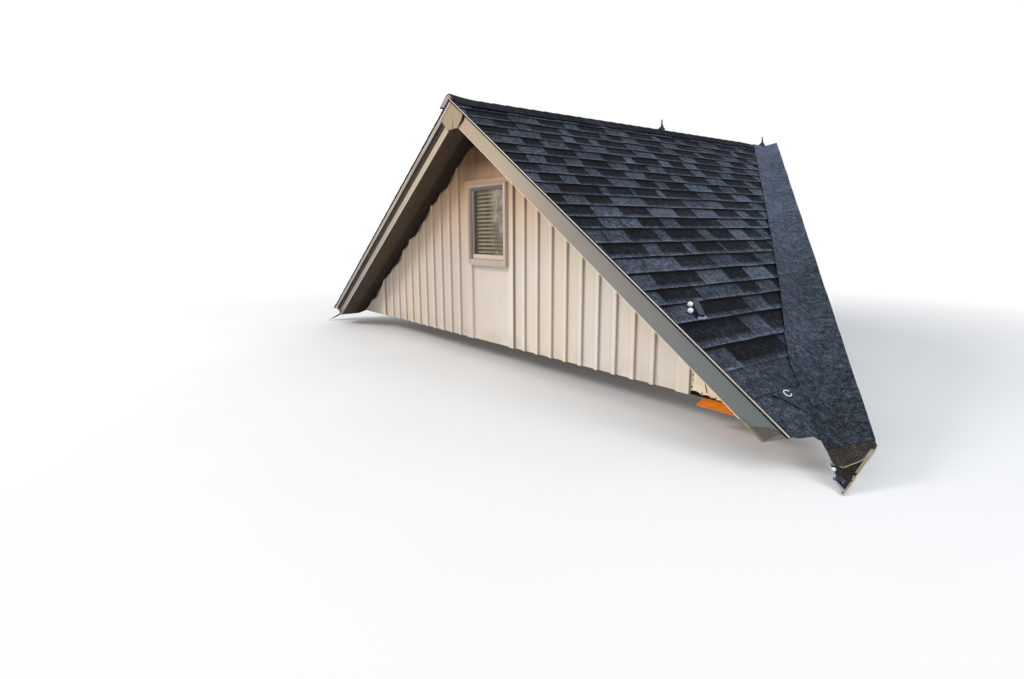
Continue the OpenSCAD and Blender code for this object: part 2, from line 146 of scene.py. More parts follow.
class Shell:
    """Collects faces, with a tone and a material number each, into one mesh."""

    def __init__(self):
        self.points = []
        self.faces = []
        self.tones = []
        self.materials = []
        self.falls = []

    def place(self, points):
        """Takes points in and returns the number of the first."""
        first = len(self.points)
        self.points += [tuple(p) for p in points]
        return first

    def put(self, face, tone, material):
        self.faces.append(face)
        self.tones.append(tone)
        self.materials.append(material)

    def slab(self, top, bottom, tone=0.5, material=0, edge_material=None):
        """A closed slab between two outlines with as many points each."""
        n = len(top)
        first = self.place(top + bottom)
        up = newell(top)
        for a, b, c in tessellate_polygon([top]):
            if (top[b] - top[a]).cross(top[c] - top[a]).dot(up) < 0:
                a, c = c, a
            self.put([first + a, first + b, first + c], tone, material)
            self.put([first + n + c, first + n + b, first + n + a], tone, material)
        side = material if edge_material is None else edge_material
        for i in range(n):
            j = (i + 1) % n
            self.put([first + i, first + n + i, first + n + j, first + j], tone, side)

    def sheet(self, outline, place, low, thick, tone=0.5, material=0, edge_material=None):
        """A slab over an outline whose points place(point, height) puts at two heights."""
        top = [place(p, low + thick) for p in outline]
        bottom = [place(p, low) for p in outline]
        self.slab(top, bottom, tone, material, edge_material)

    def band(self, start, after, tones, materials):
        """Joins two closed runs of points, given by the numbers of their first ones."""
        n = len(tones)
        for j in range(n):
            k = (j + 1) % n
            self.put([start + j, start + k, after + k, after + j], tones[j], materials[j])

    def loft(self, rings, tones=None, materials=None):
        """Joins closed rings, each side with its own tone, and caps the ends."""
        n = len(rings[0])
        tones = tones or [0.5] * n
        materials = materials or [0] * n
        starts = [self.place(ring) for ring in rings]
        for start, after in zip(starts, starts[1:]):
            self.band(start, after, tones, materials)
        for start in (starts[0], starts[-1]):
            self.put([start + j for j in range(n)], tones[0], materials[0])

    def frame(self, loops, tones):
        """Joins upright rectangles (x0, x1, z0, z1, y) in a closed run; four tones a band, from the foot."""
        starts = [self.place([(x0, y, z0), (x1, y, z0), (x1, y, z1), (x0, y, z1)])
                  for x0, x1, z0, z1, y in loops]
        for start, after, four in zip(starts, starts[1:] + starts[:1], tones):
            self.band(start, after, four, [0] * 4)

    def build(self, name, materials, replaces=()):
        mesh = bpy.data.meshes.new(name)
        mesh.from_pydata(self.points, [], self.faces)
        tone = mesh.attributes.new("tone", "FLOAT", "FACE")
        tone.data.foreach_set("value", self.tones)
        if self.falls:
            fall = mesh.attributes.new("fall", "FLOAT", "POINT")
            fall.data.foreach_set("value", self.falls)
        mesh.polygons.foreach_set("material_index", self.materials)
        mesh.polygons.foreach_set("use_smooth", [False] * len(self.faces))
        work = bmesh.new()
        work.from_mesh(mesh)
        bmesh.ops.recalc_face_normals(work, faces=work.faces)
        work.to_mesh(mesh)
        work.free()
        for material in materials:
            mesh.materials.append(material)
        mesh.update()
        piece = new_object(name, mesh)
        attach(piece, "root")
        if replaces:
            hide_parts(*replaces)


def new_object(name, data):
    thing = bpy.data.objects.new(name, data)
    bpy.context.scene.collection.objects.link(thing)
    return thing


def pairs(points):
    """Each point of a closed outline with the one after it."""
    return zip(points, points[1:] + points[:1])


def newell(points):
    """Normal of an outline by Newell's rule."""
    return sum((p.cross(q) for p, q in pairs(points)), Vector((0, 0, 0)))


def too_small(outline):
    area = sum(p[0] * q[1] - q[0] * p[1] for p, q in pairs(outline)) / 2
    return len(outline) < 3 or abs(area) < LEAST_AREA


def clip(outline, excess):
    """Cuts a flat outline where excess(point) is above zero."""
    kept = []
    for p, q in pairs(outline):
        over_p = excess(p)
        over_q = excess(q)
        if over_p <= 0:
            kept.append(p)
        if (over_p <= 0) != (over_q <= 0):
            part = over_p / (over_p - over_q)
            kept.append((p[0] + (q[0] - p[0]) * part, p[1] + (q[1] - p[1]) * part))
    return kept


# Materials


def srgb(red, green, blue):
    """A linear colour from the values 0 to 255 that it shows as."""
    linear = []
    for value in (red, green, blue):
        value /= 255
        linear.append(value / 12.92 if value <= 0.04045 else ((value + 0.055) / 1.055) ** 2.4)
    return (*linear, 1.0)


def connect(tree, socket, value):
    """Links a socket to an output, or gives it a plain value."""
    if isinstance(value, bpy.types.NodeSocket):
        tree.links.new(value, socket)
    else:
        socket.default_value = value


def new_node(tree, kind, inputs=None, **settings):
    """A node with its settings, and with its inputs given by name or number."""
    node = tree.nodes.new("ShaderNode" + kind)
    for name, value in settings.items():
        setattr(node, name, value)
    for socket, value in (inputs or {}).items():
        connect(tree, node.inputs[socket], value)
    return node


class Paint:
    """A procedural material that is built up in object coordinates. Colours are values 0 to 255."""

    def __init__(self, name, roughness, specular=0.4):
        self.material = bpy.data.materials.new(name)
        self.material.use_nodes = True
        self.tree = self.material.node_tree
        self.shader = self.tree.nodes["Principled BSDF"]
        self.shader.inputs["Roughness"].default_value = roughness
        self.shader.inputs["Specular IOR Level"].default_value = specular
        self.coords = self.node("TexCoord").outputs["Object"]

    def node(self, kind, inputs=None, **settings):
        return new_node(self.tree, kind, inputs, **settings)

    def stretched(self, stretch):
        if stretch is None:
            return self.coords
        return self.node("Mapping", {"Vector": self.coords, "Scale": stretch}).outputs["Vector"]

    def noise(self, scale, detail, stretch=None):
        inputs = {"Vector": self.stretched(stretch), "Scale": scale, "Detail": detail}
        return self.node("TexNoise", inputs).outputs["Fac"]

    def attribute(self, name):
        return self.node("Attribute", attribute_name=name).outputs["Fac"]

    def axis(self, letter):
        return self.node("SeparateXYZ", {0: self.coords}).outputs[letter]

    def math(self, operation, a, b=0.0):
        return self.node("Math", {0: a, 1: b}, operation=operation).outputs[0]

    def total(self, parts):
        value = parts[0]
        for part in parts[1:]:
            value = self.math("ADD", value, part)
        return value

    def mottle(self, scale, detail, amount):
        """Noise about zero."""
        return self.math("MULTIPLY", self.math("SUBTRACT", self.noise(scale, detail), 0.5), amount)

    def ramp(self, fac, *stops):
        """Stops are (place, linear colour)."""
        node = self.node("ValToRGB", {0: fac})
        points = node.color_ramp.elements
        while len(points) < len(stops):
            points.new(0.5)
        for point, (place, colour) in zip(points, stops):
            point.position = place
            point.color = colour
        return node.outputs["Color"]

    def shades(self, fac, *stops):
        return self.ramp(fac, *[(place, srgb(*colour)) for place, colour in stops])

    def span(self, fac, low, high, to_low=0.0, to_high=1.0):
        inputs = {"Value": fac, "From Min": low, "From Max": high, "To Min": to_low, "To Max": to_high}
        return self.node("MapRange", inputs).outputs["Result"]

    def blend(self, base, colour, fac):
        inputs = {"Factor": fac, 6: base, 7: srgb(*colour)}
        return self.node("Mix", inputs, data_type="RGBA").outputs[2]

    def stain(self, base, colour, fac, *span):
        """A base that turns to a colour by the span that fac goes through."""
        return self.blend(base, colour, self.span(fac, *span))

    def surface(self, shader):
        connect(self.tree, self.tree.nodes["Material Output"].inputs["Surface"], shader)

    def colour(self, value):
        connect(self.tree, self.shader.inputs["Base Color"], value)

    def finish(self, colour, height, distance, strength=1.0):
        """Takes the colour and the relief, and returns the material."""
        self.colour(colour)
        bump = self.node("Bump", {"Strength": strength, "Distance": distance, "Height": height})
        connect(self.tree, self.shader.inputs["Normal"], bump.outputs["Normal"])
        return self.material


# A course's fall goes from 0 under the butt above to 1 at its own butt
RECESS_FOOT = 0.70
SHADES_ON_FALL = [(0.0, 0.35, -0.16, 0.0), (0.06, 0.13, -0.80, 0.0)]
STRIP_ON_FALL = (RECESS_FOOT, RECESS_FOOT + 0.12, 0.0, 0.36)
# Painted highlight along each butt
HIGHLIGHT_ON_FALL = (0.86, 0.95, 0.0, 0.20)


def granules(name, colours, contrast, mottle, courses=False, along=0.0, specks=0.0):
    """Mineral granules, lighter with the face's tone and, by along, towards the back of the roof.

    In courses the butt above throws a painted line of shade, a dark recess ends in a lighter strip at its
    butt, and a painted highlight runs along each butt.
    """
    paint = Paint(name, 0.95, 0.12)
    parts = [paint.mottle(120, 3, contrast), paint.attribute("tone")]
    for scale, amount in ((2.6, 0.4), (13, mottle / 2), (34, mottle)):
        parts.append(paint.mottle(scale, 4, amount))
    parts.append(paint.span(paint.axis("Y"), FRONT_Y, BACK_Y, -along, along))
    if courses:
        fall = paint.attribute("fall")
        in_recess = paint.span(paint.attribute("tone"), 0.25, 0.55, 1.0, 0.0)
        parts += [paint.span(fall, *span) for span in SHADES_ON_FALL]
        parts.append(paint.math("MULTIPLY", paint.span(fall, *STRIP_ON_FALL), in_recess))
        parts.append(paint.span(fall, *HIGHLIGHT_ON_FALL))
    if specks:
        parts.append(paint.span(paint.noise(75, 1), 0.76, 0.80, 0.0, specks))
    dark, middle, light = colours
    colour = paint.shades(paint.total(parts), (0.0, dark), (0.5, middle), (1.0, light))
    return paint.finish(colour, paint.noise(330, 1), 0.0014, 0.9)


def asphalt_edge():
    paint = Paint("Asphalt edge", 0.85, 0.3)
    colour = paint.shades(paint.noise(90, 3), (0.3, (14, 15, 18)), (0.8, (34, 35, 39)))
    return paint.finish(colour, paint.noise(240, 2), 0.001)


def speckled(name, low, high, scale, roughness, specular=0.4):
    """Two close colours in fine patches."""
    paint = Paint(name, roughness, specular)
    colour = paint.shades(paint.noise(scale, 4), (0.3, low), (0.7, high))
    return paint.finish(colour, paint.noise(scale * 4, 2), 0.0008, 0.4)


def sheet_metal(name, low, high, roughness):
    """Coated sheet with faint ripples and dirt in patches."""
    paint = Paint(name, roughness, 0.5)
    base = paint.shades(paint.noise(6, 3, (1, 1, 2)), (0.3, low), (0.75, high))
    base = paint.stain(base, (92, 84, 74), paint.noise(2.4, 6), 0.52, 0.78, 0.0, 0.3)
    return paint.finish(base, paint.noise(5, 1), 0.004, 0.35)


def wrap_metal():
    """The bargeboard's wrap: painted warm light at the peak fading to grey at the foot, painted highlights
    along its hem and arrises, painted shade at low tones.
    """
    paint = Paint("Wrap metal", 0.45, 0.45)
    down = paint.math("ABSOLUTE", paint.axis("X"))
    # Painted light: warm tan at the peak, greying towards the foot
    base = paint.shades(paint.span(down, 0.0, HALF_W), (0.0, (170, 148, 118)), (0.22, (170, 154, 133)),
                        (0.5, (134, 129, 122)), (0.8, (106, 109, 109)), (1.0, (96, 101, 103)))
    base = paint.stain(base, (96, 86, 72), paint.noise(4, 5, (1, 1, 3)), 0.5, 0.8, 0.0, 0.14)
    # Painted highlight above tone 0.5, painted shade below it
    base = paint.stain(base, (226, 210, 188), paint.attribute("tone"), 0.5, 1.0)
    base = paint.stain(base, (60, 52, 42), paint.attribute("tone"), 0.5, 0.0)
    return paint.finish(base, paint.noise(3.5, 1), 0.004, 0.25)


# Colours of the painted boards, from the wall's foot to its top: pale paint at the foot, then painted shade
# under the overhang that warms and deepens to dark brown at the peak
BOARD_SHADES = [(0.0, (220, 211, 202)), (0.35, (212, 203, 194)), (0.6, (199, 177, 157)),
                (0.76, (170, 136, 106)), (0.87, (86, 53, 27)), (1.0, (50, 30, 16))]
BOARD_SHADES_TOP = 1.8


def painted_board(name, gain, toned):
    """Painted boards: pale at the foot, painted shade under the peak, more painted shade to the left, painted
    shade at a low tone.
    """
    paint = Paint(name, 0.62, 0.3)
    stops = [(place, [value * gain for value in colour]) for place, colour in BOARD_SHADES]
    base = paint.shades(paint.span(paint.axis("Z"), 0.0, BOARD_SHADES_TOP), *stops)
    # Painted shade to the left
    base = paint.stain(base, (140, 106, 80), paint.axis("X"), -0.4, 0.35, 0.28, 0.0)
    base = paint.stain(base, (222, 196, 152), paint.noise(1.7, 1, (1, 1, 0.5)), 0.46, 0.62, 0.0, 0.20)
    base = paint.stain(base, (168, 146, 120), paint.noise(24, 4, (1, 1, 0.06)), 0.3, 0.7, 0.0, 0.12)
    splashed = paint.span(paint.axis("Z"), 0.02, 0.14, 0.22, 0.0)
    dirt = paint.math("MULTIPLY", splashed, paint.span(paint.noise(7, 5), 0.4, 0.7))
    base = paint.blend(base, (130, 112, 88), dirt)
    if toned:
        # Painted shade on faces of low tone, such as the sides of battens
        base = paint.stain(base, (104, 90, 78), paint.attribute("tone"), 0.5, 0.0)
    return paint.finish(base, paint.noise(60, 3, (1, 1, 0.1)), 0.0012, 0.5)


def window_paint():
    """Aged window paint, its tone going from grey painted shade on the sides over a pinkish body to painted
    highlights on the arrises.
    """
    paint = Paint("Window paint", 0.45)
    base = paint.shades(paint.attribute("tone"), (0.0, (112, 98, 90)), (0.3, (166, 150, 142)),
                        (0.6, (204, 184, 168)), (1.0, (232, 218, 202)))
    base = paint.stain(base, (156, 128, 108), paint.noise(11, 4), 0.45, 0.8, 0.0, 0.25)
    return paint.finish(base, paint.noise(40, 2), 0.0006, 0.4)


# Pine and strand board are kept dark, painted shade for the dim inside of the dormer
def pine_timber():
    paint = Paint("Pine", 0.75, 0.25)
    grain = paint.noise(9, 5, (6, 1.2, 6))
    base = paint.shades(grain, (0.3, (112, 84, 54)), (0.7, (146, 114, 76)))
    base = paint.stain(base, (92, 60, 34), paint.noise(7, 2), 0.68, 0.74, 0.0, 0.7)
    return paint.finish(base, grain, 0.0015, 0.5)


def strand_board():
    """Flakes of wood in random colours and heights."""
    paint = Paint("Strand board", 0.8, 0.25)
    flakes = paint.node("TexVoronoi", {"Vector": paint.stretched((1, 2.2, 1.4)), "Scale": 26})
    split = paint.node("SeparateColor", {0: flakes.outputs["Color"]})
    base = paint.shades(split.outputs[0], (0.0, (96, 70, 44)), (0.55, (124, 96, 62)), (1.0, (146, 118, 80)))
    return paint.finish(base, split.outputs[1], 0.001, 0.6)


def dark_soffit():
    """Brown soffit in two boards, the one at the wall darker."""
    paint = Paint("Dark soffit", 0.7, 0.25)
    base = paint.shades(paint.span(paint.axis("Y"), BOARD_Y, SIDING_Y), (0.0, (76, 62, 49)),
                        (0.55, (66, 53, 41)), (0.57, (42, 29, 20)), (1.0, (34, 23, 15)))
    base = paint.stain(base, (20, 16, 12), paint.noise(14, 5), 0.4, 0.8, 0.0, 0.4)
    return paint.finish(base, paint.noise(30, 3), 0.002, 0.4)


def window_pane():
    """Clear glass with a painted reflection that grows to one side and a pale blurred patch."""
    paint = Paint("Pane", 0.08)
    clear = paint.node("BsdfTransparent", {"Color": (0.84, 0.82, 0.76, 1)})
    gloss = paint.node("BsdfGlossy", {"Roughness": 0.05, "Color": (0.9, 0.93, 0.92, 1)})
    reflected_tint = paint.shades(paint.noise(9, 3), (0.35, (118, 108, 96)), (0.65, (188, 174, 158)))
    reflection_patch = paint.node("BsdfDiffuse", {"Color": reflected_tint})
    # Where the painted reflection shows: more to one side, fuller near the top, in cloudy patches
    across = paint.span(paint.axis("X"), 0.08, 0.20, 0.03, 0.92)
    upper = paint.span(paint.axis("Z"), 0.86, 0.98, 0.30, 1.0)
    cloud = paint.span(paint.noise(7, 3), 0.42, 0.62, 0.60, 1.0)
    amount = paint.math("MULTIPLY", paint.math("MULTIPLY", across, upper), cloud)
    with_reflection = paint.node("MixShader", {0: amount, 1: clear.outputs[0], 2: reflection_patch.outputs[0]})
    pane = paint.node("MixShader", {0: 0.05, 1: with_reflection.outputs[0], 2: gloss.outputs[0]})
    paint.surface(pane.outputs[0])
    paint.tree.nodes.remove(paint.shader)
    return paint.material


SHINGLE = granules("Shingle granules", ((12, 14, 19), (54, 60, 71), (114, 123, 141)), 1.4, 0.8,
                   courses=True, along=0.07)
CAP = granules("Cap granules", ((12, 13, 16), (32, 34, 42), (60, 64, 78)), 1.1, 0.6)
STRIP = granules("Strip granules", ((28, 31, 36), (68, 75, 87), (110, 121, 144)), 1.8, 1.1,
                 along=0.32, specks=0.5)
SHEET = granules("Sheet granules", ((24, 27, 32), (60, 66, 76), (106, 115, 134)), 1.8, 1.1, specks=0.5)
UNDERLAY = granules("Brown underlay", ((28, 26, 24), (56, 53, 48), (94, 90, 82)), 1.4, 0.9)
EDGE = asphalt_edge()
LIP = speckled("Tan lip", (118, 104, 86), (158, 142, 122), 26, 0.7)
LILAC = speckled("Lilac sheet", (132, 136, 158), (160, 164, 186), 14, 0.45)
CAP_BACK = speckled("Worn cap back", (236, 220, 212), (246, 232, 226), 8, 0.8)
CHIP = speckled("Broken siding", (226, 208, 172), (246, 232, 204), 18, 0.7)
# Painted shade: a near-black that stands for the shade in gaps, cracks and holes and under the drip's lip
SHADE = speckled("Painted shade", (9, 6, 4), (24, 18, 13), 40, 0.9, 0.1)
BARE = speckled("Bare board", (52, 43, 34), (70, 58, 46), 12, 0.8, 0.2)
# Painted shade: a darker copy of the wrap for the folded end tab
FOLD = speckled("Folded end in painted shade", (74, 68, 62), (92, 86, 78), 20, 0.6)
OLIVE_FOLD = speckled("Olive end", (116, 112, 88), (136, 130, 106), 20, 0.55)
EAVE = speckled("Eave board", (120, 88, 74), (150, 112, 92), 16, 0.6)
SLAT = speckled("Slat", (198, 182, 160), (218, 202, 180), 20, 0.5)
MEMBRANE = speckled("Orange membrane", (226, 112, 24), (252, 146, 42), 30, 0.5)
POST = speckled("Black post", (22, 20, 20), (44, 40, 38), 60, 0.4)
BULB = speckled("Pale plastic", (206, 212, 216), (236, 240, 242), 60, 0.3)
CLIP = speckled("Dark clip", (14, 18, 24), (34, 48, 60), 60, 0.35)
FLASHING = sheet_metal("Pale flashing", (176, 174, 168), (204, 202, 196), 0.45)
DRIP = sheet_metal("Drip metal", (172, 168, 162), (194, 190, 184), 0.5)
# Painted light: a paler copy of the drip metal for the left drip edge's underside
DRIP_UNDERSIDE_LIT = sheet_metal("Drip underside in painted light", (238, 228, 218), (250, 242, 234), 0.5)
WRAP = wrap_metal()
SIDING = painted_board("Siding paint", 1.0, False)
TRIM = painted_board("Trim paint", 1.05, True)
WINDOW = window_paint()
PANE = window_pane()
SOFFIT = dark_soffit()
PINE = pine_timber()
STRAND = strand_board()


def both(*names):
    return [name + "_" + side for name in names for side in SIDES.values()]


NODE_MATERIALS = {
    PINE: ["sole_plate", "studs", "window_framing", "ridge_board",
           *both("top_plate", "rafters", "valley_sleeper", "overhang_framing")],
    STRAND: ["gable_sheathing", *both("deck")],
    EAVE: both("eave_fascia"),
    SOFFIT: both("soffit"),
    SIDING: ["siding"],
    PANE: ["window_glass"],
    MEMBRANE: ["foot_membrane"],
    POST: ["ridge_posts"],
}

for material, names in NODE_MATERIALS.items():
    for node_name in names:
        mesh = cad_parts[node_name].data
        mesh.materials.clear()
        mesh.materials.append(material)


# Roof covering: sizes of the courses and their tabs, and the ranges that chance picks from

EXPOSURE = 0.143
BUTT_STEP = 0.007
LAYER_T = 0.0035
LAYERS_DEEP = 0.0118
HIDDEN_LAP = 0.030
UNDER_STRIP = 0.060
PAST_VALLEY = 0.02
RIDGE_GAP = 0.001
END_GAP = 0.0008
SHINGLE_L = 1.0
FIRST_LENGTHS = (0.4, SHINGLE_L)
EDGE_STEP = 0.035
EDGE_WAVE = 0.0022
EDGE_WAVES = 7
EDGE_CHANCE = 0.001
PHASES = 6.28
FIRST_RECESS = (-0.3, 0.1)
RECESS_WIDTHS = (0.16, 0.42)
TAB_WIDTHS = (0.09, 0.34)
TAB_PIECE = 0.26
TAB_LEAST = 0.01
TAB_STEP = 0.06
TAB_LEAN = 0.060
LEANS = (0.4, 1.2)
TAB_PROUD = 0.0005
BUTT_CHANCE = 0.0015
SHEET_TONES = (0.38, 0.50)
RECESS_TONES = (0.02, 0.16)
TAB_TONES = (0.46, 0.66)

# The lowest courses as photographed on the right: butt, and where each dark recess starts and stops
LOW_COURSES = [
    (SLOPE_L, []),
    (3.585, []),
    (3.380, []),
    (3.190, [(-0.20, 0.33)]),
    (3.015, [(-0.45, 0.17)]),
    (2.815, [(-0.05, 0.42)]),
    (2.660, [(-0.29, 0.07), (0.53, 0.75)]),
    (2.525, [(-0.19, 0.26), (0.55, 0.80)]),
    (2.368, [(0.19, 0.56)]),
    (2.210, [(-0.35, 0.03), (0.17, 0.45), (0.55, 0.87), (0.89, 1.26)]),
    (2.055, [(0.00, 0.29), (0.41, 0.79), (0.92, 1.20), (1.40, 1.60)]),
    (1.890, [(-0.45, -0.14), (0.27, 0.51), (0.69, 1.23), (1.61, 1.81)]),
    (1.749, [(-0.44, -0.09), (0.19, 0.50), (0.81, 1.05), (1.35, 1.66)]),
    (1.603, [(-0.40, -0.25), (-0.04, 0.21), (0.57, 1.06), (1.60, 2.06)]),
    (1.463, [(-0.18, 0.23), (0.30, 0.58), (0.61, 0.88), (0.95, 1.43)]),
]
SHEETED = 3


def add_layer(shell, side, outline, course, drop, tone):
    """A layer of a course, drop below the tabs, that rises to its butt and is cut along the valley."""
    butt, exposure = course

    def place(p, height):
        return slope_point(side, *p, max(height - (butt - p[0]) / exposure * BUTT_STEP, -LAYERS_DEEP))

    outline = clip(outline, lambda p: p[1] - valley_y(p[0]) + UNDER_STRIP * VALLEY_UNIT)
    if not too_small(outline):
        shell.sheet(outline, place, -drop - LAYER_T, LAYER_T, tone, 0, 1)
        shell.falls += [(s - butt) / exposure + 1 for s, y in outline] * 2


def course_list():
    """Butt, exposure and measured recesses of each course, from the eave up."""
    butts = [butt for butt, recesses in LOW_COURSES]
    while butts[-1] > EXPOSURE:
        butts.append(butts[-1] - EXPOSURE)
    measured = [recesses for butt, recesses in LOW_COURSES]
    measured += [[]] * (len(butts) - len(measured))
    return [((butt, butt - above), recesses)
            for butt, above, recesses in zip(butts, butts[1:] + [0.0], measured)]


def dark_recesses(rng, measured, end):
    """Where a course's recesses lie: the measured ones, then chance ones up to the valley."""
    recesses = list(measured)
    y = recesses[-1][1] if recesses else FRONT_Y + rng.uniform(*FIRST_RECESS)
    while y < end:
        start = y + rng.uniform(*TAB_WIDTHS)
        y = start + rng.uniform(*RECESS_WIDTHS)
        recesses.append((start, y))
    return recesses


def waved_edge(rng, start, end):
    """Places along a butt with their small waves."""
    count = max(2, round((end - start) / EDGE_STEP))
    wave = rng.uniform(0, PHASES)
    marks = [start + (end - start) * i / count for i in range(count + 1)]
    return [(y, EDGE_WAVE * math.sin(y * EDGE_WAVES + wave) + rng.uniform(-EDGE_CHANCE, EDGE_CHANCE))
            for y in marks]


def shingle_slope(side, seed):
    """Laminated courses, a dark base with lighter tabs between its recesses, over sheets at the eave."""
    rng = random.Random(seed)
    shell = Shell()
    sheets = Shell()
    for row, (course, measured) in enumerate(course_list()):
        butt, exposure = course
        top = max(butt - exposure - HIDDEN_LAP, RIDGE_GAP)
        end = valley_y(top) + PAST_VALLEY
        y = FRONT_Y
        length = rng.uniform(*FIRST_LENGTHS)
        while y < end:
            stop = min(y + length, end)
            edge = waved_edge(rng, y + END_GAP, stop - END_GAP)
            outline = [(butt + wave, place) for place, wave in edge]
            outline += [(top, edge[-1][0]), (top, edge[0][0])]
            if row < SHEETED:
                add_layer(sheets, side, outline, course, 0.0, rng.uniform(*SHEET_TONES))
            else:
                add_layer(shell, side, outline, course, LAYER_T, rng.uniform(*RECESS_TONES))
            y = stop
            length = SHINGLE_L
        if row >= SHEETED:
            add_tabs(shell, rng, side, dark_recesses(rng, measured if side > 0 else [], end), course, top)
    name = SIDES[side]
    shell.build("shingle_courses_" + name, [SHINGLE, EDGE], ["shingles_" + name])
    sheets.build("eave_sheets_" + name, [SHEET, EDGE])


def add_tabs(shell, rng, side, recesses, course, top):
    """The lighter tabs that stand between the recesses, in one to three leaning pieces each."""
    y = FRONT_Y - TAB_LEAN
    for start, stop in recesses:
        pieces = max(1, round((start - y) / TAB_PIECE))
        for i in range(pieces):
            y0 = y + (start - y) * i / pieces
            y1 = y + (start - y) * (i + 1) / pieces
            if y1 > FRONT_Y and y1 > y0 + TAB_LEAST:
                add_tab(shell, rng, side, y0, y1, course, top)
        y = stop


def add_tab(shell, rng, side, y0, y1, course, top):
    """One leaning tab, with a slightly waved butt."""
    low = course[0] + TAB_PROUD + rng.uniform(-BUTT_CHANCE, BUTT_CHANCE)
    lean = TAB_LEAN * rng.uniform(*LEANS)
    count = max(1, round((y1 - y0) / TAB_STEP))
    outline = [(low + rng.uniform(-EDGE_CHANCE, EDGE_CHANCE), y0 - lean + (y1 - y0) * i / count)
               for i in range(count + 1)]
    outline += [(top, y1), (top, y0)]
    outline = clip(outline, lambda p: FRONT_Y + END_GAP - p[1])
    if len(outline) > 2:
        add_layer(shell, side, outline, course, 0.0, rng.uniform(*TAB_TONES))


shingle_slope(1, 11)
shingle_slope(-1, 23)


# Ridge caps

CAP_W = 0.150
CAP_L = 0.290
CAP_T = 0.004
CAP_ROWS = 4
CAP_PARTS = [-1.0, -0.90, -0.66, -0.33, -0.12, 0.0, 0.12, 0.33, 0.66, 0.90, 1.0]
CAP_CHANCE = 0.001
CAP_TONES = (0.25, 0.6)
CAP_SPLAY = 0.004
CAP_PROUD = 0.012
CURLED_T = 0.009
CAP_CURL = 0.018
RIDGE_ROUND = 0.0045
ROUND_REACH = 0.02


def ridge_cap(shell, rng, start, tone, raised=0.0):
    """A strip bent over the ridge, its butt lifted on the cap in front of it or curled up by raised.

    The curled cap shows its pale back inside a dark border.
    """
    tilt = CAP_T / PITCH_COS / EXPOSURE
    thick = CURLED_T if raised else CAP_T
    splay = rng.uniform(0.0, CAP_SPLAY)
    rings = []
    for i in range(CAP_ROWS + 1):
        along = CAP_L * i / CAP_ROWS
        curl = raised * (1 - along / CAP_L) ** 2
        top = []
        bottom = []
        for part in CAP_PARTS:
            u = abs(part) * (CAP_W + rng.uniform(-CAP_CHANCE, CAP_CHANCE))
            side = 1 if part >= 0 else -1
            flare = splay * part * part + curl * (1 - 0.5 * part * side)
            point = slope_point(side, u, start + along, (CAP_L - along) * tilt * PITCH_COS + flare)
            round_off = RIDGE_ROUND * math.exp(-(u / ROUND_REACH) ** 2)
            top.append(point - Vector((0, 0, round_off - thick)))
            bottom.append(point - Vector((0, 0, round_off)))
        rings.append(top + bottom[::-1])
    columns = len(CAP_PARTS)
    materials = [0] * (columns + 1) + [1 if raised else 0] * (columns - 3) + [0, 0]
    shell.loft(rings, [tone] * len(materials), materials)


def ridge_caps():
    rng = random.Random(5)
    shell = Shell()
    last = BACK_Y - STRIP_IN * VALLEY_UNIT - CAP_L
    for i in range(int((last - FRONT_Y) / EXPOSURE) + 1):
        start = FRONT_Y - (CAP_PROUD if i == 0 else 0.0) + i * EXPOSURE
        ridge_cap(shell, rng, start, rng.uniform(*CAP_TONES), CAP_CURL if i == 0 else 0.0)
    shell.build("ridge_cap_shingles", [CAP, CAP_BACK], ["ridge_caps"])


ridge_caps()


# Valley strips: thickness and lift of each sheet, and how the tail droops and is torn

MINERAL_T = 0.0030
SCRAP_T = 0.0012
UNDERLAY_T = 0.0014
METAL_T = 0.0008
LEAF_STEP = 0.05
JUST_OFF = 1e-6
SHEET_LENGTHS = (0.42, 0.8)
SHEET_LAP = 0.08
SHEET_LIFTS = (0.0018, 0.0048)
UNDERLAY_LIFTS = (0.0012, 0.0012)
METAL_LIFTS = (0.0002, 0.0002)
UNDERLAY_L = 1.6
UNDERLAY_BACK = 0.004
STRIP_TONES = (0.44, 0.54)
# Painted shade: the outer leaf's tone is lowered by this much
OUTER_LEAF_SHADE = 0.05
SHEET_WAVE = 0.0012
UNDERLAY_WAVE = 0.001
TAIL_EDGE = 0.006
METAL_HIDDEN = -0.03
DROOP_FROM = 3.66
DROOP_OVER = 0.17
DROOP = 0.85
TEAR_X = 3.117
TEAR_Y = -0.131
TEAR_LEANS = (0.22, 0.8)

# Width of the leaf on the dormer's slope, by the distance down the valley
LEAF_WIDTHS = [(0.0, 0.173), (2.8, 0.172), (4.2, 0.184), (5.0, 0.211), (5.26, 0.216), (5.63, 0.165),
               (5.94, 0.124), (6.17, 0.054), (7.0, 0.054)]
MEAN_WIDTH = 0.17

# Where the metal beside the tail starts to show, and how its width changes there, inner leaf and outer
METAL_SHOWS = {True: (6.0, 0.002), False: (5.9, -TAIL_EDGE)}

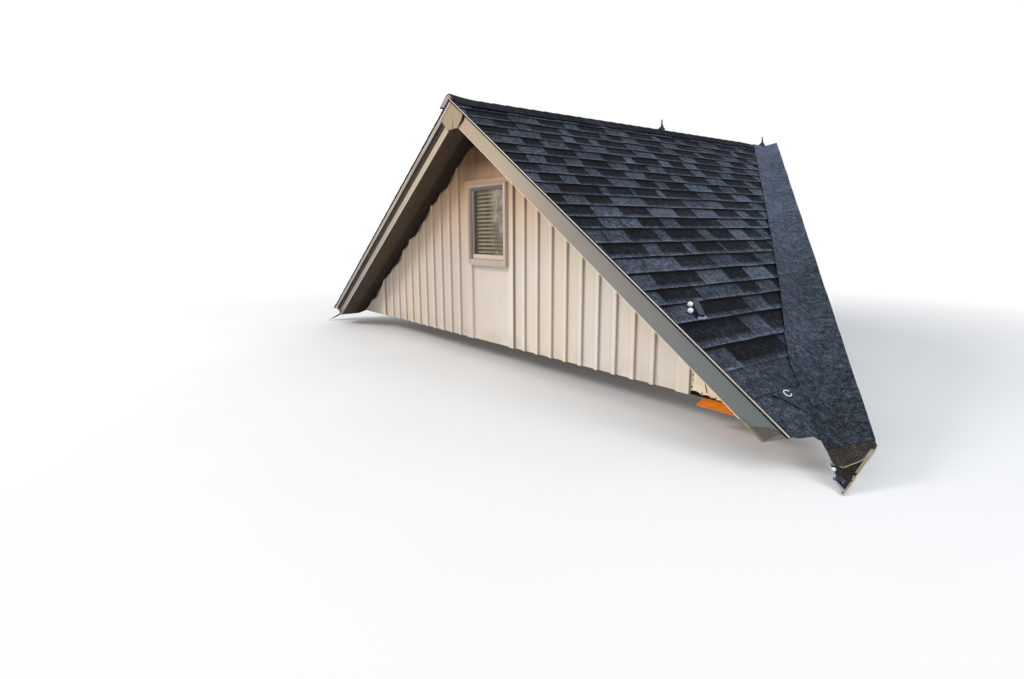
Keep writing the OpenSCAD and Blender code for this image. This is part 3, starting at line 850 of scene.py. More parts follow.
# Damage and patches as photographed: places in plan on the tail, distances down the slope and along it
END_LIPS = [(-0.385, -0.32, -0.28), (-0.26, -0.19, -0.10)]
LIP_LINE = [(3.136, -0.293), (3.158, -0.272), (3.180, -0.250), (3.203, -0.226), (3.224, -0.196),
            (3.243, -0.155)]
FLAP = [(3.136, -0.295), (3.180, -0.252), (3.203, -0.228), (3.224, -0.198), (3.240, -0.160),
        (3.240, -0.375), (3.190, -0.345)]
LILAC_SCRAP = [(3.118, -0.298), (3.150, -0.298), (3.200, -0.336), (3.234, -0.362), (3.243, -0.388),
               (3.200, -0.357)]
EAVE_SHEET = [(3.540, -0.395), (3.626, -0.395), (3.638, -0.372), (3.648, -0.339), (3.655, -0.294),
              (3.662, -0.255), (3.690, -0.240), (3.700, -0.180), (3.640, -0.060), (3.540, 0.080)]
SQUARE_PATCH = [(3.019, 0.418), (3.072, 0.576), (3.187, 0.404), (3.183, 0.225)]
LOW_PATCH = [(3.390, -0.250), (3.435, -0.193), (3.581, -0.109), (3.574, 0.051), (3.410, 0.232),
             (3.381, -0.100)]
CLIP_BODY = [(2.665, -0.125), (2.675, -0.090), (2.745, -0.125), (2.812, -0.165), (2.800, -0.212),
             (2.740, -0.180)]
CLIP_PLATE = [(2.771, -0.193), (2.760, -0.120), (2.822, -0.148), (2.816, -0.214)]
CLIP_BULBS = [(2.702, -0.176), (2.751, -0.228)]


def plan(u, d):
    """Place in plan of a point u down the valley, d off it: above zero on the dormer's slope."""
    if d >= 0:
        x = (u - VALLEY_SLANT * d) / VALLEY_UNIT * PITCH_COS
        return x, BACK_Y - (VALLEY_SLANT * u + d) / VALLEY_UNIT
    run = VALLEY_SLANT / MAIN_COS
    x = (u * PITCH_COS - d * run) / VALLEY_UNIT
    w = BACK_Y / MAIN_COS - (u * run + d * PITCH_COS) / VALLEY_UNIT
    return x, w * MAIN_COS


def sheet_point(side, x, y, lift, inner):
    """A point of the folded sheets over a place in plan. Past the eave the dormer's side droops."""
    if not inner:
        return main_point(side, x, y / MAIN_COS, lift)
    s = x / PITCH_COS
    point = slope_point(side, s, y, lift)
    drop = min(1.0, max(0.0, s - DROOP_FROM) / DROOP_OVER)
    return point - Vector((0, 0, (point.z - y * MAIN_TAN) * DROOP * drop * drop))


def past_tear(x, y, inner):
    """How far a place lies beyond the line where the mineral sheets are torn off the tail."""
    if inner:
        return x - TEAR_X - TEAR_LEANS[0] * (y - TEAR_Y)
    return TEAR_LEANS[1] * (x - TEAR_X) - (y - TEAR_Y)


def leaf_width(u):
    for (u0, w0), (u1, w1) in zip(LEAF_WIDTHS, LEAF_WIDTHS[1:]):
        if u <= u1:
            return w0 + (w1 - w0) * (u - u0) / (u1 - u0)
    return LEAF_WIDTHS[-1][1]


def strip_leaf(shell, side, inner, u0, u1, lifts, grow, cut, tone, thick, wobble, torn=False):
    """One lapped piece's leaf, u0 to u1 along the valley, rising from lifts[0] to lifts[1].

    The inner leaf's laps run with the courses, the outer leaf's straight across.
    """
    shear = VALLEY_SLANT if inner else 0.0
    fold = 0.0 if inner else -JUST_OFF
    steps = max(2, round((u1 - u0) / LEAF_STEP))
    near = []
    far = []
    for i in range(steps + 1):
        u = u0 + (u1 - u0) * i / steps
        width = (leaf_width(u + shear * MEAN_WIDTH) if inner else STRIP_OUT) + grow + wobble(u)
        near.append((u, fold))
        far.append((u + shear * width, width if inner else -width))

    def in_plan(p):
        return plan(p[0], p[1] if inner else min(p[1], fold))

    def place(p, height):
        u, d = p
        part = min(1.0, max(0.0, (u - shear * d - u0) / (u1 - u0)))
        return sheet_point(side, *in_plan(p), lifts[0] + (lifts[1] - lifts[0]) * part + height, inner)

    outline = clip(near + far[::-1], lambda p: in_plan(p)[0] - cut)
    outline = clip(outline, lambda p: -in_plan(p)[0])
    if inner:
        outline = clip(outline, lambda p: FRONT_Y - grow - in_plan(p)[1])
    if torn:
        outline = clip(outline, lambda p: past_tear(*in_plan(p), inner))
    if not too_small(outline):
        shell.sheet(outline, place, 0.0, thick, tone)


def valley_strip(side, seed):
    """Lapped mineral sheets folded into the valley, torn off above the tail's brown underlay."""
    rng = random.Random(seed)
    sheets = Shell()
    underlay = Shell()
    metal = Shell()
    u = 0.0
    while u < STRIP_END:
        end = u + rng.uniform(*SHEET_LENGTHS)
        wave = rng.uniform(0, PHASES)
        tone = rng.uniform(*STRIP_TONES)
        for inner in (True, False):
            strip_leaf(sheets, side, inner, max(u - SHEET_LAP, 0.0), end, SHEET_LIFTS, 0.0, TAIL_X,
                       tone if inner else tone - OUTER_LEAF_SHADE, MINERAL_T,
                       lambda place: SHEET_WAVE * math.sin(place * 6 + wave), True)
        u = end
    for inner, (shown_from, change) in METAL_SHOWS.items():
        strip_leaf(underlay, side, inner, STRIP_END - UNDERLAY_L, STRIP_END, UNDERLAY_LIFTS,
                   -UNDERLAY_WAVE, TAIL_X - UNDERLAY_BACK, 0.45, UNDERLAY_T,
                   lambda place: UNDERLAY_WAVE * math.sin(place * 47))
        strip_leaf(metal, side, inner, 0.0, STRIP_END, METAL_LIFTS, TAIL_EDGE, TAIL_X + TAIL_EDGE, 0.5,
                   METAL_T, lambda place: METAL_HIDDEN if place < shown_from else change)
    name = SIDES[side]
    sheets.build("valley_sheets_" + name, [STRIP], ["valley_strip_" + name])
    underlay.build("valley_underlay_" + name, [UNDERLAY])
    metal.build("valley_metal_" + name, [FLASHING], ["valley_flashing_" + name])


def on_dormer(x, y):
    """Whether a place in plan is on the dormer's side of the valley."""
    return y < BACK_Y - x * VALLEY_RUN


def on_tail(side):
    """Puts places in plan on the folded sheets."""
    return lambda p, lift: sheet_point(side, *p, lift, on_dormer(*p))


def on_slope(side):
    return lambda p, lift: slope_point(side, *p, lift)


# The tail's lips: width and lift of each kind, and their section as (part of the half width, rise)
END_LIP_IN = 0.010
END_LIP = (0.018, 0.0030)
LINE_LIP = (0.007, 0.0065)
LIP_SECTION = ((-1, 0.0), (0, 0.003), (1, 0.0), (0, -0.002))
FLAP_LIFT = 0.0028
FLAP_TONE = 0.15

# Mineral patches: outline, lift and tone
EAVE_PATCHES = [(EAVE_SHEET, -0.0005, 0.42), (SQUARE_PATCH, 0.0045, 0.50), (LOW_PATCH, 0.0012, 0.40)]


def ribbon(shell, side, path, width, lift):
    """A narrow lip laid along a path in plan on the folded sheets, its middle raised."""
    rings = []
    for i, (x, y) in enumerate(path):
        x0, y0 = path[max(i - 1, 0)]
        x1, y1 = path[min(i + 1, len(path) - 1)]
        run = math.hypot(x1 - x0, y1 - y0)
        dx = (y0 - y1) / run * width / 2
        dy = (x1 - x0) / run * width / 2
        rings.append([sheet_point(side, x + dx * k, y + dy * k, lift + rise, on_dormer(x, y))
                      for k, rise in LIP_SECTION])
    shell.loft(rings)


def tail_trim(side):
    """Tan lips on the tail's cut end and across its underlay, and the darker flap between them."""
    shell = Shell()
    for places in END_LIPS:
        ribbon(shell, side, [(TAIL_X - END_LIP_IN, y) for y in places], *END_LIP)
    ribbon(shell, side, LIP_LINE, *LINE_LIP)
    shell.sheet(FLAP, on_tail(side), FLAP_LIFT, SCRAP_T, FLAP_TONE, 1)
    shell.build("tail_trim_" + SIDES[side], [LIP, UNDERLAY])


def eave_patch(side):
    """A mineral sheet that hangs raggedly over the eave beside the valley, and patches on the low courses."""
    shell = Shell()
    for outline, lift, tone in EAVE_PATCHES:
        shell.sheet(outline, on_slope(side), lift, MINERAL_T, tone)
    shell.build("eave_patches_" + SIDES[side], [SHEET])


valley_strip(1, 3)
valley_strip(-1, 8)
for side in SIDES:
    tail_trim(side)
    eave_patch(side)


# Light clips, a loop of wire and a scrap of sheet left on the right slope

BALL_ROWS = 8
BALL_COLUMNS = 12
BALL_FLAT = 0.15
CLIP_LIFT = 0.004
CLIP_T = 0.026
CLIP_PLATE_T = 0.010
BULB_LIFT = 0.020
BULB_RADII = (0.016, 0.018, 0.016)
WIRE_MIDDLE = (3.412, -0.132)
WIRE_RADII = (0.020, 0.026)
WIRE_FROM = 0.5
WIRE_TURN = 5.4
WIRE_LIFT = 0.009
WIRE_R = 0.0032
SCRAP_LIFT = 0.0045

# The tail's clip: place in plan, lift, half-sizes and material of each rounded body
TAIL_CLIP = [
    ((3.154, -0.306), 0.014, (0.011, 0.011, 0.010), 0),
    ((3.196, -0.330), 0.012, (0.030, 0.018, 0.013), 1),
    ((3.205, -0.336), 0.022, (0.009, 0.008, 0.006), 0),
]


def ball(shell, centre, radii, material=0):
    """A rounded body of given half-sizes along the axes."""
    rings = []
    for i in range(BALL_ROWS + 1):
        polar = math.pi * (i + BALL_FLAT) / (BALL_ROWS + 2 * BALL_FLAT)
        rings.append([(centre[0] + radii[0] * math.sin(polar) * math.cos(turn),
                       centre[1] + radii[1] * math.sin(polar) * math.sin(turn),
                       centre[2] + radii[2] * math.cos(polar)) for turn in turns(BALL_COLUMNS)])
    shell.loft(rings, None, [material] * BALL_COLUMNS)


def wire(shell, path, radius):
    """A thin round wire along a path on the roof."""
    rings = []
    for i, point in enumerate(path):
        along = (path[min(i + 1, len(path) - 1)] - path[max(i - 1, 0)]).normalized()
        across = along.cross(Vector((0, 0, 1))).normalized()
        up = across.cross(along)
        rings.append([point + across * radius * math.cos(turn) + up * radius * math.sin(turn)
                      for turn in turns(6)])
    shell.loft(rings)


def roof_clips():
    """A dark clip with two pale bulbs and a bluish plate, another on the tail with a scrap, and a wire."""
    shell = Shell()
    slope = on_slope(1)
    tail = on_tail(1)
    shell.sheet(CLIP_BODY, slope, CLIP_LIFT, CLIP_T, 0.5, 1)
    shell.sheet(CLIP_PLATE, slope, CLIP_LIFT, CLIP_PLATE_T, 0.5, 2)
    for place in CLIP_BULBS:
        ball(shell, slope(place, BULB_LIFT), BULB_RADII)
    for place, lift, radii, material in TAIL_CLIP:
        ball(shell, tail(place, lift), radii, material)
    shell.sheet(LILAC_SCRAP, tail, SCRAP_LIFT, SCRAP_T, 0.5, 2)
    s, y = WIRE_MIDDLE
    loop = [slope((s + WIRE_RADII[0] * math.sin(turn), y + WIRE_RADII[1] * math.cos(turn)), WIRE_LIFT)
            for turn in [WIRE_FROM + WIRE_TURN * i / 16 for i in range(17)]]
    wire(shell, loop, WIRE_R)
    shell.build("roof_clips", [BULB, CLIP, LILAC])


roof_clips()


# Rake trim

# Tone and material of a section's plain points
PLAIN = (0.5, 0)
SWEEP_STEPS = 36
LAID_ON = 0.0002
BEND = 0.001
BULGE = 0.0008
BULGE_DEPTH = 0.08
HEM_H = 0.006
TAB_Y = BOARD_Y - 0.0045
FOLD_T = 0.0012
HEM_Y = BOARD_Y - 0.004
HEM_END = 3.385
LIP_Y = FRONT_Y - 0.002
LIP_TOP = 0.007
LIP_EDGE = 0.014
CRACK_X = 0.013
GUSSET_GAP = 0.002
GAP_BACK = BOARD_Y - 0.0045
GAP_T = 0.001
GUSSET_FOLD = 0.003
GUSSET_BACK = BOARD_Y - 0.0005
GUSSET_TONE = 0.40
EDGE_STEPS = 90
EDGE_BACK = SIDING_Y - CASING_T - 0.003
EDGE_T = 0.002
EDGE_LAP = 0.004
LEAST_SHADOW_REACH = 0.003
EDGE_FROM = 0.13
EDGE_SHORT = 0.35

# Corners of the folded tabs: down the slope, depth, push back
END_TAB = [(3.452, 0.137, 0.0), (3.520, 0.070, 0.0), (3.612, 0.0245, 0.0), (3.572, 0.050, 0.002),
           (3.541, 0.144, 0.004)]
SIDE_TAB = [(3.377, 0.146, 0.0), (3.400, 0.140, 0.0), (3.452, 0.138, 0.0), (3.449, 0.152, 0.001),
            (3.423, 0.159, 0.003)]


def sweep(shell, side, section, start=0.0, stop=SLOPE_L):
    """Runs a section down a slope, from the ridge to its leaned end at most.

    Its points are (y, depth, tone, material). Where the last ones are plain they are left out.
    """
    section = [(*point, *PLAIN[len(point) - 2:]) for point in section]
    rings = []
    for i in range(SWEEP_STEPS + 1):
        ring = []
        for y, depth, tone, material in section:
            first = max(start, depth * PITCH_TAN)
            last = min(stop, SLOPE_L - max(0.0, depth - DECK_FOOT) * math.tan(END_LEAN))
            ring.append(slope_point(side, first + (last - first) * i / SWEEP_STEPS, y, -depth))
        rings.append(ring)
    shell.loft(rings, [point[2] for point in section], [point[3] for point in section])


def bargeboard(side):
    """A board wrapped in sheet, with a rolled hem and folded tabs, the end tab in painted shade. The left one
    is bare in its upper part.
    """
    shell = Shell()
    back = BOARD_Y + BOARD_T
    # High tones paint highlights on the top arris and the hem, tone 0.1 paints shade under the board
    if side > 0:
        sweep(shell, side, [
            (back, DECK_FOOT), (BOARD_Y + BEND, DECK_FOOT, 0.95), (BOARD_Y, DECK_FOOT + 0.002, 0.7),
            (BOARD_Y, DECK_FOOT + 0.004), (BOARD_Y - BULGE, BULGE_DEPTH), (BOARD_Y, BOARD_FOOT - 0.009, 0.55),
            (BOARD_Y, BOARD_FOOT, 0.1), (back, BOARD_FOOT)])
    else:
        bare_y = BOARD_Y + BARE_RECESS
        bare_foot = WRAP_TOP - BEND
        sweep(shell, side, [(y, depth, 0.5, 1) for y, depth in (
            (back, DECK_FOOT), (bare_y, DECK_FOOT), (bare_y, bare_foot), (back, bare_foot))])
        sweep(shell, side, [
            (back, WRAP_TOP), (BOARD_Y, WRAP_TOP, 0.9), (BOARD_Y, WRAP_TOP + 0.003, 0.55),
            (BOARD_Y, BOARD_FOOT + LEFT_DROP, 0.1), (back, BOARD_FOOT)])
    hem = [(BOARD_Y, BOARD_FOOT - HEM_H, 0.8), (HEM_Y + BEND, BOARD_FOOT - 0.0055, 0.95),
           (HEM_Y, BOARD_FOOT - 0.0035, 1.0), (HEM_Y + BEND, BOARD_FOOT - BEND, 0.8),
           (BOARD_Y, BOARD_FOOT, 0.6)]
    sweep(shell, side, hem, GUSSET_W / PITCH_COS, HEM_END)
    for corners, material in ((END_TAB, 2), (SIDE_TAB, 3)):
        shell.sheet(corners, lambda p, y: slope_point(side, p[0], y + p[2], -p[1]), TAB_Y, -FOLD_T, 0.5,
                    material)
    name = SIDES[side]
    shell.build("wrapped_bargeboard_" + name, [WRAP, BARE, FOLD, OLIVE_FOLD],
                ["bargeboard_" + name])


def drip_edge(side):
    """A narrow lip over a recessed face in painted shade. The left one has painted shade in front and painted
    light beneath.
    """
    shell = Shell()
    shade = FRONT_Y - 3 * LAID_ON
    back = FRONT_Y - LAID_ON
    turn = BOARD_Y - LAID_ON
    foot = DECK_FOOT + 0.002
    front, under = (0, 1) if side > 0 else (1, 2)
    sweep(shell, side, [
        (back, LIP_TOP, 0.5, front), (LIP_Y, LIP_TOP, 0.5, front), (LIP_Y - 0.0008, LIP_EDGE, 0.5, front),
        (LIP_Y, LIP_EDGE + BEND, 0.5, 1), (shade, LIP_EDGE + 0.0015, 0.5, 1), (shade, foot, 0.5, under),
        (turn, foot, 0.5, 1), (turn, DECK_FOOT, 0.5, 1), (back, DECK_FOOT, 0.5, 1)])
    name = SIDES[side]
    shell.build("drip_lip_" + name, [DRIP, SHADE, DRIP_UNDERSIDE_LIT], ["drip_edge_" + name])


def around(x, z, *offsets):
    return [(x + dx, z + dz) for dx, dz in offsets]


def peak_gusset():
    """A bent plate with a cracked foot, with painted shade behind the crack and in the gaps beside it."""
    top = APEX_Z - DECK_FOOT / PITCH_COS - GUSSET_GAP
    shoulder = top - GUSSET_W * PITCH_TAN
    foot = top - GUSSET_H
    outline = [(0.0, top), *around(GUSSET_W, shoulder, (0, 0), (-0.012, -0.030)), (GUSSET_FOOT, foot)]
    outline += around(CRACK_X, foot, (0.005, 0.001), (0.005, 0.05), (0.011, 0.125), (-0.002, 0.05),
                      (-0.005, 0.001))
    outline += [(-GUSSET_FOOT, foot), *around(-GUSSET_W, shoulder, (0.014, -0.030), (0, 0))]
    crack = around(CRACK_X, foot, (-0.012, 0.004), (0.016, 0.004), (0.018, 0.130))
    right_gap = around(GUSSET_W, shoulder, (-0.004, -0.004), (0.024, -0.017), (0.001, -0.060))
    right_gap += around(GUSSET_FOOT, foot, (0.020, 0.010), (0.004, 0.002))
    right_gap += around(GUSSET_W, shoulder, (-0.020, -0.050))
    left_gap = around(-GUSSET_W, shoulder, (-0.002, -0.012), (0.013, -0.030))
    left_gap += around(-GUSSET_FOOT, foot, (-0.036, 0.042), (-0.044, 0.046))
    shell = Shell()
    face = BOARD_Y - GUSSET_T
    front = [upright(p, face - GUSSET_FOLD * (1 - abs(p[0]) / GUSSET_W)) for p in outline]
    shell.slab(front, [upright(p, GUSSET_BACK) for p in outline], GUSSET_TONE)
    # Sheets of painted shade behind the crack and the gaps
    for gap in (crack, right_gap, left_gap):
        shell.sheet(gap, upright, GAP_BACK, -GAP_T, 0.5, 1)
    shell.build("cracked_gusset", [WRAP, SHADE], ["peak_gusset"])


def soffit_shadow_strip(side, seed):
    """Dark strip of painted shadow, with a ragged lower edge, where the soffit meets the wall."""
    rng = random.Random(seed)
    low = []
    for i in range(EDGE_STEPS + 1):
        s = EDGE_FROM + (SLOPE_L - EDGE_SHORT) * i / EDGE_STEPS
        # sag is how far the painted shadow reaches below the soffit
        sag = 0.028 + 0.018 * math.sin(s * 9) + 0.012 * math.sin(s * 23 + 1)
        low.append((s, SOFFIT_FOOT + max(LEAST_SHADOW_REACH, sag + rng.uniform(-LEAST_SHADOW_REACH, LEAST_SHADOW_REACH))))
    outline = low + [(s, SOFFIT_FOOT - EDGE_LAP) for s, depth in low[::-1]]
    shell = Shell()
    shell.sheet(outline, lambda p, y: slope_point(side, p[0], y, -p[1]), EDGE_BACK, -EDGE_T)
    shell.build("soffit_edge_" + SIDES[side], [SOFFIT])


for side in SIDES:
    bargeboard(side)
    drip_edge(side)
    soffit_shadow_strip(side, 40 + side)
peak_gusset()


# Gable wall

WALL_FOOT = SIDING_Y * MAIN_TAN + SIDING_GAP / MAIN_COS
BATTEN_BEVEL = 0.004
BATTEN_CHANCE = 0.001
# Tones of painted shade: on the battens' sides, by side of the wall, and on bevelled arrises
BATTEN_SHADE_TONES = {1: 0.24, -1: 0.43}
CASING_BEVEL = 0.003
ARRIS_TONE = 0.42
CREAM_PROUD = 0.0035
CREAM_INSET = 0.001
CREAM_BACK = SIDING_Y + CREAM_INSET
CREAM_T = CREAM_PROUD + CREAM_INSET
CREAM_HEAD_GAP = 0.002
BREAK_T = 0.0022
BREAK_LAP = 0.003
MARK_BACK = SIDING_Y - CREAM_PROUD + CREAM_INSET
MARK_T = 0.0018

# The broken corner beside the right trim: (x, z) places, and the place and size of each chip, a dark spot of
# painted shade
BROKEN_FOOT = [(2.209, 0.005), (2.240, 0.010), (2.261, 0.007), (2.290, -0.006), (2.329, 0.002),
               (2.350, -0.009), (2.368, -0.005), (2.396, -0.014), (2.425, -0.008), (2.452, -0.016),
               (2.560, -0.016)]
CHIPS = [(2.222, 0.105, 0.009), (2.224, 0.076, 0.007), (2.217, 0.030, 0.011), (2.290, 0.004, 0.010),
         (2.385, -0.004, 0.010), (2.345, 0.000, 0.007)]
SIDING_CRACK = [(2.302, 0.075), (2.309, 0.068), (2.321, 0.040), (2.329, 0.014), (2.322, 0.015),
                (2.314, 0.040)]


def soffit_height(x):
    """Top of the wall's pieces at x."""
    return APEX_Z - abs(x) * PITCH_TAN - SOFFIT_FOOT / PITCH_COS


def board(shell, x0, x1, depth, bevel, side_tone, head=soffit_height, face_tone=0.5):
    """An upright board on the siding with bevelled front arrises, its sides and arrises toned with painted
    shade.
    """
    y = SIDING_Y - depth
    section = [(x0, SIDING_Y, side_tone), (x0, y + bevel, ARRIS_TONE), (x0 + bevel, y, face_tone),
               (x1 - bevel, y, (side_tone + 0.5) / 2), (x1, y + bevel, side_tone), (x1, SIDING_Y, 0.5)]
    rings = [[Vector((x, y, WALL_FOOT)) for x, y, tone in section],
             [Vector((x, y, head(x))) for x, y, tone in section]]
    shell.loft(rings, [point[2] for point in section])


def wall_boards():
    rng = random.Random(77)
    for side, name in SIDES.items():
        x, spacing = FIRST_BATTENS[side]
        battens = Shell()
        while x <= TRIM_X - TRIM_W / 2 - BATTEN_W:
            middle = side * x
            depth = BATTEN_T - rng.uniform(0, BATTEN_CHANCE)
            board(battens, middle - BATTEN_W / 2, middle + BATTEN_W / 2, depth, BATTEN_BEVEL,
                  BATTEN_SHADE_TONES[side])
            x += spacing
        battens.build("bevelled_battens_" + name, [TRIM], ["battens_" + name])
        trim = Shell()
        middle = side * TRIM_X
        board(trim, middle - TRIM_W / 2, middle + TRIM_W / 2, CASING_T, CASING_BEVEL, 0.2)
        trim.build("bevelled_trim_" + name, [TRIM], ["corner_trim_" + name])


def broken_siding():
    """The cream corner beside the right trim, its foot broken off over a gap of painted shade, with chips and
    a crack in painted shade.
    """
    shell = Shell()
    head = [(x, soffit_height(x) - CREAM_HEAD_GAP) for x, z in BROKEN_FOOT[::-1]]
    gap = [(x, z + BREAK_LAP) for x, z in BROKEN_FOOT]
    gap += [(BROKEN_FOOT[-1][0], WALL_FOOT), (BROKEN_FOOT[0][0], WALL_FOOT)]
    shell.sheet(BROKEN_FOOT + head, upright, CREAM_BACK, -CREAM_T)
    # Painted shade in the gap under the broken foot, the crack and the chips
    shell.sheet(gap, upright, CREAM_BACK, -BREAK_T, 0.5, 1)
    shell.sheet(SIDING_CRACK, upright, MARK_BACK, -MARK_T, 0.5, 1)
    for x, z, size in CHIPS:
        outline = []
        for turn in turns(9):
            reach = size * (0.6 + 0.4 * math.sin(5 * turn + 90 * x))
            outline.append((x + reach * math.cos(turn), z + reach * math.sin(turn)))
        shell.sheet(outline, upright, MARK_BACK, -MARK_T, 0.5, 1)
    shell.build("broken_siding", [CHIP, SHADE])


wall_boards()
broken_siding()


# Window

WIN_X = 0.090
WIN_HALF = 0.281
WIN_LEFT = WIN_X - WIN_HALF
WIN_RIGHT = WIN_X + WIN_HALF
WIN_TOP = APEX_Z - 0.673
WIN_H = 0.698
WIN_FOOT = WIN_TOP - WIN_H
CASING_LEFT = 0.100
CASING_RIGHT = 0.068
CASING_HEAD = 0.048
HEAD_LIP = 0.005
HEAD_LIP_H = 0.004
FRAME_FACE = 0.028
FRAME_SILL = 0.054
FRAME_PROUD = 0.054
FRAME_DEPTH = 0.125
FRAME_Y = SIDING_Y - FRAME_PROUD
FRAME_BACK = FRAME_Y + FRAME_DEPTH
FRAME_BEVEL = 0.003
SASH_Y = FRAME_Y + 0.026
SASH_BACK = SASH_Y + 0.034
SASH_FACE = 0.020
SASH_FOOT = 0.042
SASH_PLAY = 0.0005
SASH_BEVEL = 0.002
BEAD_W = 0.006
BEAD_DEPTH = 0.009
BLIND_Y = SASH_BACK + 0.0145
BLIND_GAP = 0.002
BLIND_HEAD = 0.026
BLIND_HALF = 0.0125
SLAT_SPACING = 0.034
SLAT_TILT = 46
TILT_CHANCE = 5
SAG_CHANCE = 0.0015
LOWEST_SLAT = 0.025
RAIL_END = 0.01

# A slat's section: part of its half-width across, height
SLAT_SECTION = ((-1, 0.0), (-0.5, 0.0016), (0, 0.0022), (0.5, 0.0016), (1, 0.0), (0.5, 0.0008),
                (0, 0.0013), (-0.5, 0.0008))
CORD_SECTION = ((-0.001, -0.0008), (0.001, -0.0008), (0.001, 0.0008), (-0.001, 0.0008))

# Tones of the window's faces, painting their shade and highlights: foot, right, head and left of a band
WALL_TONES = (0.3, 0.4, 0.4, 0.3)
FRAME_TONES = [WALL_TONES, (0.5, 0.65, 0.3, 0.2), (0.40, 0.48, 0.18, 0.16), (0.3, 0.3, 0.2, 0.3),
               (0.6, 0.4, 0.2, 0.34), (0.0, 0.0, 0.0, 0.0), WALL_TONES]
SASH_TONES = [WALL_TONES, (0.6, 0.45, 0.1, 0.1), (0.6, 0.45, 0.1, 0.1), (0.5, 0.4, 0.0, 0.2),
              (0.4, 0.4, 0.0, 0.1), WALL_TONES]


def window_casing():
    """Two boards beside the window, and a head over both with a small lip, with painted shade on the right
    board's side and under the head and its lip.
    """
    shell = Shell()
    y = SIDING_Y - CASING_T
    head = WIN_TOP + CASING_HEAD
    left = WIN_LEFT - CASING_LEFT
    right = WIN_RIGHT + CASING_RIGHT
    board(shell, left, WIN_LEFT, CASING_T, CASING_BEVEL, 0.5, lambda x: WIN_TOP, 0.45)
    board(shell, WIN_RIGHT, right, CASING_T, CASING_BEVEL, 0.12, lambda x: WIN_TOP)
    lip = y - HEAD_LIP
    outline = [(SIDING_Y, WIN_TOP, 0.3), (y, WIN_TOP, 0.5), (y, head - HEAD_LIP_H - 0.002, 0.2),
               (lip, head - HEAD_LIP_H, 0.45), (lip, head, 0.5), (SIDING_Y, head, 0.5)]
    rings = [[Vector((x, y, z)) for y, z, tone in outline] for x in (left, right)]
    shell.loft(rings, [point[2] for point in outline])
    shell.build("bevelled_casing", [TRIM], ["window_casing"])


def grown(rectangle, amount):
    x0, x1, z0, z1 = rectangle
    return (x0 - amount, x1 + amount, z0 - amount, z1 + amount)


def window_frame():
    """Proud frame with a deep sill, and the sash in it."""
    outer = (WIN_LEFT, WIN_RIGHT, WIN_FOOT, WIN_TOP)
    inner = (WIN_LEFT + FRAME_FACE, WIN_RIGHT - FRAME_FACE, WIN_FOOT + FRAME_SILL, WIN_TOP - FRAME_FACE)
    box = Shell()
    box.frame([(*outer, FRAME_BACK), (*outer, FRAME_Y + FRAME_BEVEL), (*grown(outer, -FRAME_BEVEL), FRAME_Y),
               (*grown(inner, FRAME_BEVEL), FRAME_Y), (*inner, FRAME_Y + FRAME_BEVEL), (*inner, SASH_BACK),
               (*inner, FRAME_BACK)], FRAME_TONES)
    box.build("window_box", [WINDOW], ["window_frame"])
    outer = grown(inner, -SASH_PLAY)
    x0, x1, z0, z1 = outer
    inner = (x0 + SASH_FACE, x1 - SASH_FACE, z0 + SASH_FOOT, z1 - SASH_FACE)
    rails = Shell()
    rails.frame([(*outer, SASH_BACK), (*outer, SASH_Y + SASH_BEVEL), (*grown(outer, -SASH_BEVEL), SASH_Y),
                 (*grown(inner, BEAD_W), SASH_Y), (*inner, SASH_Y + BEAD_DEPTH), (*inner, SASH_BACK)],
                SASH_TONES)
    rails.build("sash_rails", [WINDOW], ["window_sash"])


def blind_slat(shell, x0, x1, z, tilt, sag):
    rings = []
    for x, drop in ((x0, 0.0), ((x0 + x1) / 2, sag), (x1, 0.0)):
        ring = []
        for part, rise in SLAT_SECTION:
            across = part * BLIND_HALF
            y = BLIND_Y + across * math.cos(tilt) - rise * math.sin(tilt)
            height = z + drop + across * math.sin(tilt) + rise * math.cos(tilt)
            ring.append(Vector((x, y, height)))
        rings.append(ring)
    shell.loft(rings)


def window_blind():
    """Curved slats on two cords, under a head rail."""
    rng = random.Random(9)
    shell = Shell()
    x0 = WIN_LEFT + FRAME_FACE + BLIND_GAP
    x1 = WIN_RIGHT - FRAME_FACE - BLIND_GAP
    top = WIN_TOP - FRAME_FACE
    foot = top - BLIND_HEAD
    shell.frame([(x0, x1, foot, top, BLIND_Y - BLIND_HALF), (x0, x1, foot, top, BLIND_Y + BLIND_HALF),
                 (x0 + RAIL_END, x1 - RAIL_END, foot + BLIND_GAP, top - BLIND_GAP, BLIND_Y)],
                [(0.5,) * 4] * 3)
    z = foot - SLAT_SPACING / 2
    while z >= WIN_FOOT + FRAME_SILL + LOWEST_SLAT:
        tilt = math.radians(SLAT_TILT + rng.uniform(-TILT_CHANCE, TILT_CHANCE))
        blind_slat(shell, x0, x1, z, tilt, rng.uniform(-SAG_CHANCE, SAG_CHANCE))
        z -= SLAT_SPACING
    for part in (0.25, 0.75):
        x = x0 + (x1 - x0) * part
        shell.loft([[Vector((x + dx, BLIND_Y + dy, height)) for dx, dy in CORD_SECTION]
                    for height in (z + SLAT_SPACING, foot)])
    shell.build("blind_slats", [SLAT], ["window_blind"])


window_casing()
window_frame()
window_blind()


# Light, floor and camera

FLOOR_HALF = 30.0
FLOOR_Y = 1.5
FLOOR_GAP = 0.002
FLOOR_FADE = 3.2
FLOOR_WHITE = 7.0

# The camera fitted to the roof's lines in the photograph
CAMERA_PLACE = (4.2456, -2.9563, 0.9627)
CAMERA_TURN = 0.9273
CAMERA_DIP = 0.1868
CAMERA_ROLL = -0.0057
CAMERA_LENS = 20.057


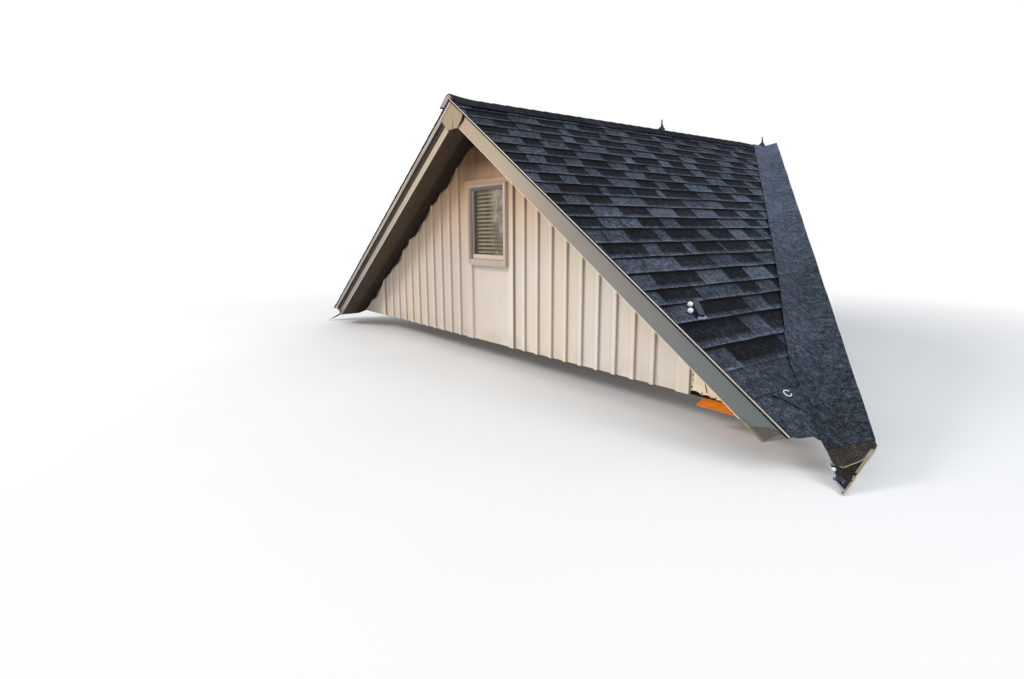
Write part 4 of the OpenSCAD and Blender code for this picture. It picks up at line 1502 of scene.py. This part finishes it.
def area_light(name, place, target, size, power, tint):
    lamp = bpy.data.lights.new(name, "AREA")
    lamp.shape = "DISK"
    lamp.size = size
    lamp.energy = power
    lamp.color = tint
    holder = new_object(name, lamp)
    holder.location = place
    aim = (Vector(target) - Vector(place)).normalized()
    holder.rotation_mode = "QUATERNION"
    holder.rotation_quaternion = aim.to_track_quat("-Z", "Y")


def white_room():
    """A pale world that the camera sees as plain white."""
    world = bpy.data.worlds.new("Pale room")
    bpy.context.scene.world = world
    world.use_nodes = True
    tree = world.node_tree
    tree.nodes.clear()
    path = new_node(tree, "LightPath")
    soft = new_node(tree, "Background", {"Color": (0.92, 0.96, 1.0, 1), "Strength": 0.75})
    white = new_node(tree, "Background", {"Color": (1, 1, 1, 1), "Strength": 1.0})
    mix = new_node(tree, "MixShader", {0: path.outputs["Is Camera Ray"], 1: soft.outputs[0],
                                       2: white.outputs[0]})
    new_node(tree, "OutputWorld", {"Surface": mix.outputs[0]})


def pale_floor():
    """A matt floor that fades to the white of the room."""
    paint = Paint("Pale floor", 0.9, 0.1)
    paint.colour(paint.ramp(paint.noise(0.6, 2), (0.2, (0.80, 0.80, 0.80, 1)),
                            (0.8, (0.84, 0.84, 0.84, 1))))
    length = paint.node("VectorMath", {0: paint.coords}, operation="LENGTH")
    path = paint.node("LightPath")
    white = paint.node("Emission")
    fade = paint.span(length.outputs["Value"], FLOOR_FADE, FLOOR_WHITE)
    seen = paint.math("MULTIPLY", fade, path.outputs["Is Camera Ray"])
    mix = paint.node("MixShader", {0: seen, 1: paint.shader.outputs[0], 2: white.outputs[0]})
    paint.surface(mix.outputs[0])
    low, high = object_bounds()
    mesh = bpy.data.meshes.new("floor")
    corners = ((-1, -1), (1, -1), (1, 1), (-1, 1))
    mesh.from_pydata([(x * FLOOR_HALF, y * FLOOR_HALF, 0) for x, y in corners], [], [(0, 1, 2, 3)])
    mesh.materials.append(paint.material)
    floor = new_object("floor", mesh)
    floor.location = (0, FLOOR_Y, low[2] - FLOOR_GAP)


def photo_camera():
    lens = bpy.data.cameras.new("photo_camera")
    lens.sensor_width = 36.0
    lens.lens = CAMERA_LENS
    lens.clip_end = 100
    camera = new_object("photo_camera", lens)
    turn = Matrix.Rotation(CAMERA_TURN, 4, "Z") @ Matrix.Rotation(math.pi / 2 - CAMERA_DIP, 4, "X")
    camera.matrix_world = Matrix.Translation(CAMERA_PLACE) @ turn @ Matrix.Rotation(CAMERA_ROLL, 4, "Z")
    bpy.context.scene.camera = camera


area_light("key", (-4.5, -7.5, 6.5), (0.5, 0, 0.9), 4.0, 560, (1.0, 0.95, 0.88))
area_light("roof_fill", (8.0, 1.5, 6.0), (1.0, 1.0, 1.0), 5.0, 220, (0.9, 0.95, 1.0))
area_light("side_fill", (7.5, -5.5, 1.0), (0.5, 0, 0.6), 3.0, 110, (1.0, 0.97, 0.94))
white_room()
pale_floor()
photo_camera()

view = bpy.context.scene.view_settings
view.view_transform = "Standard"
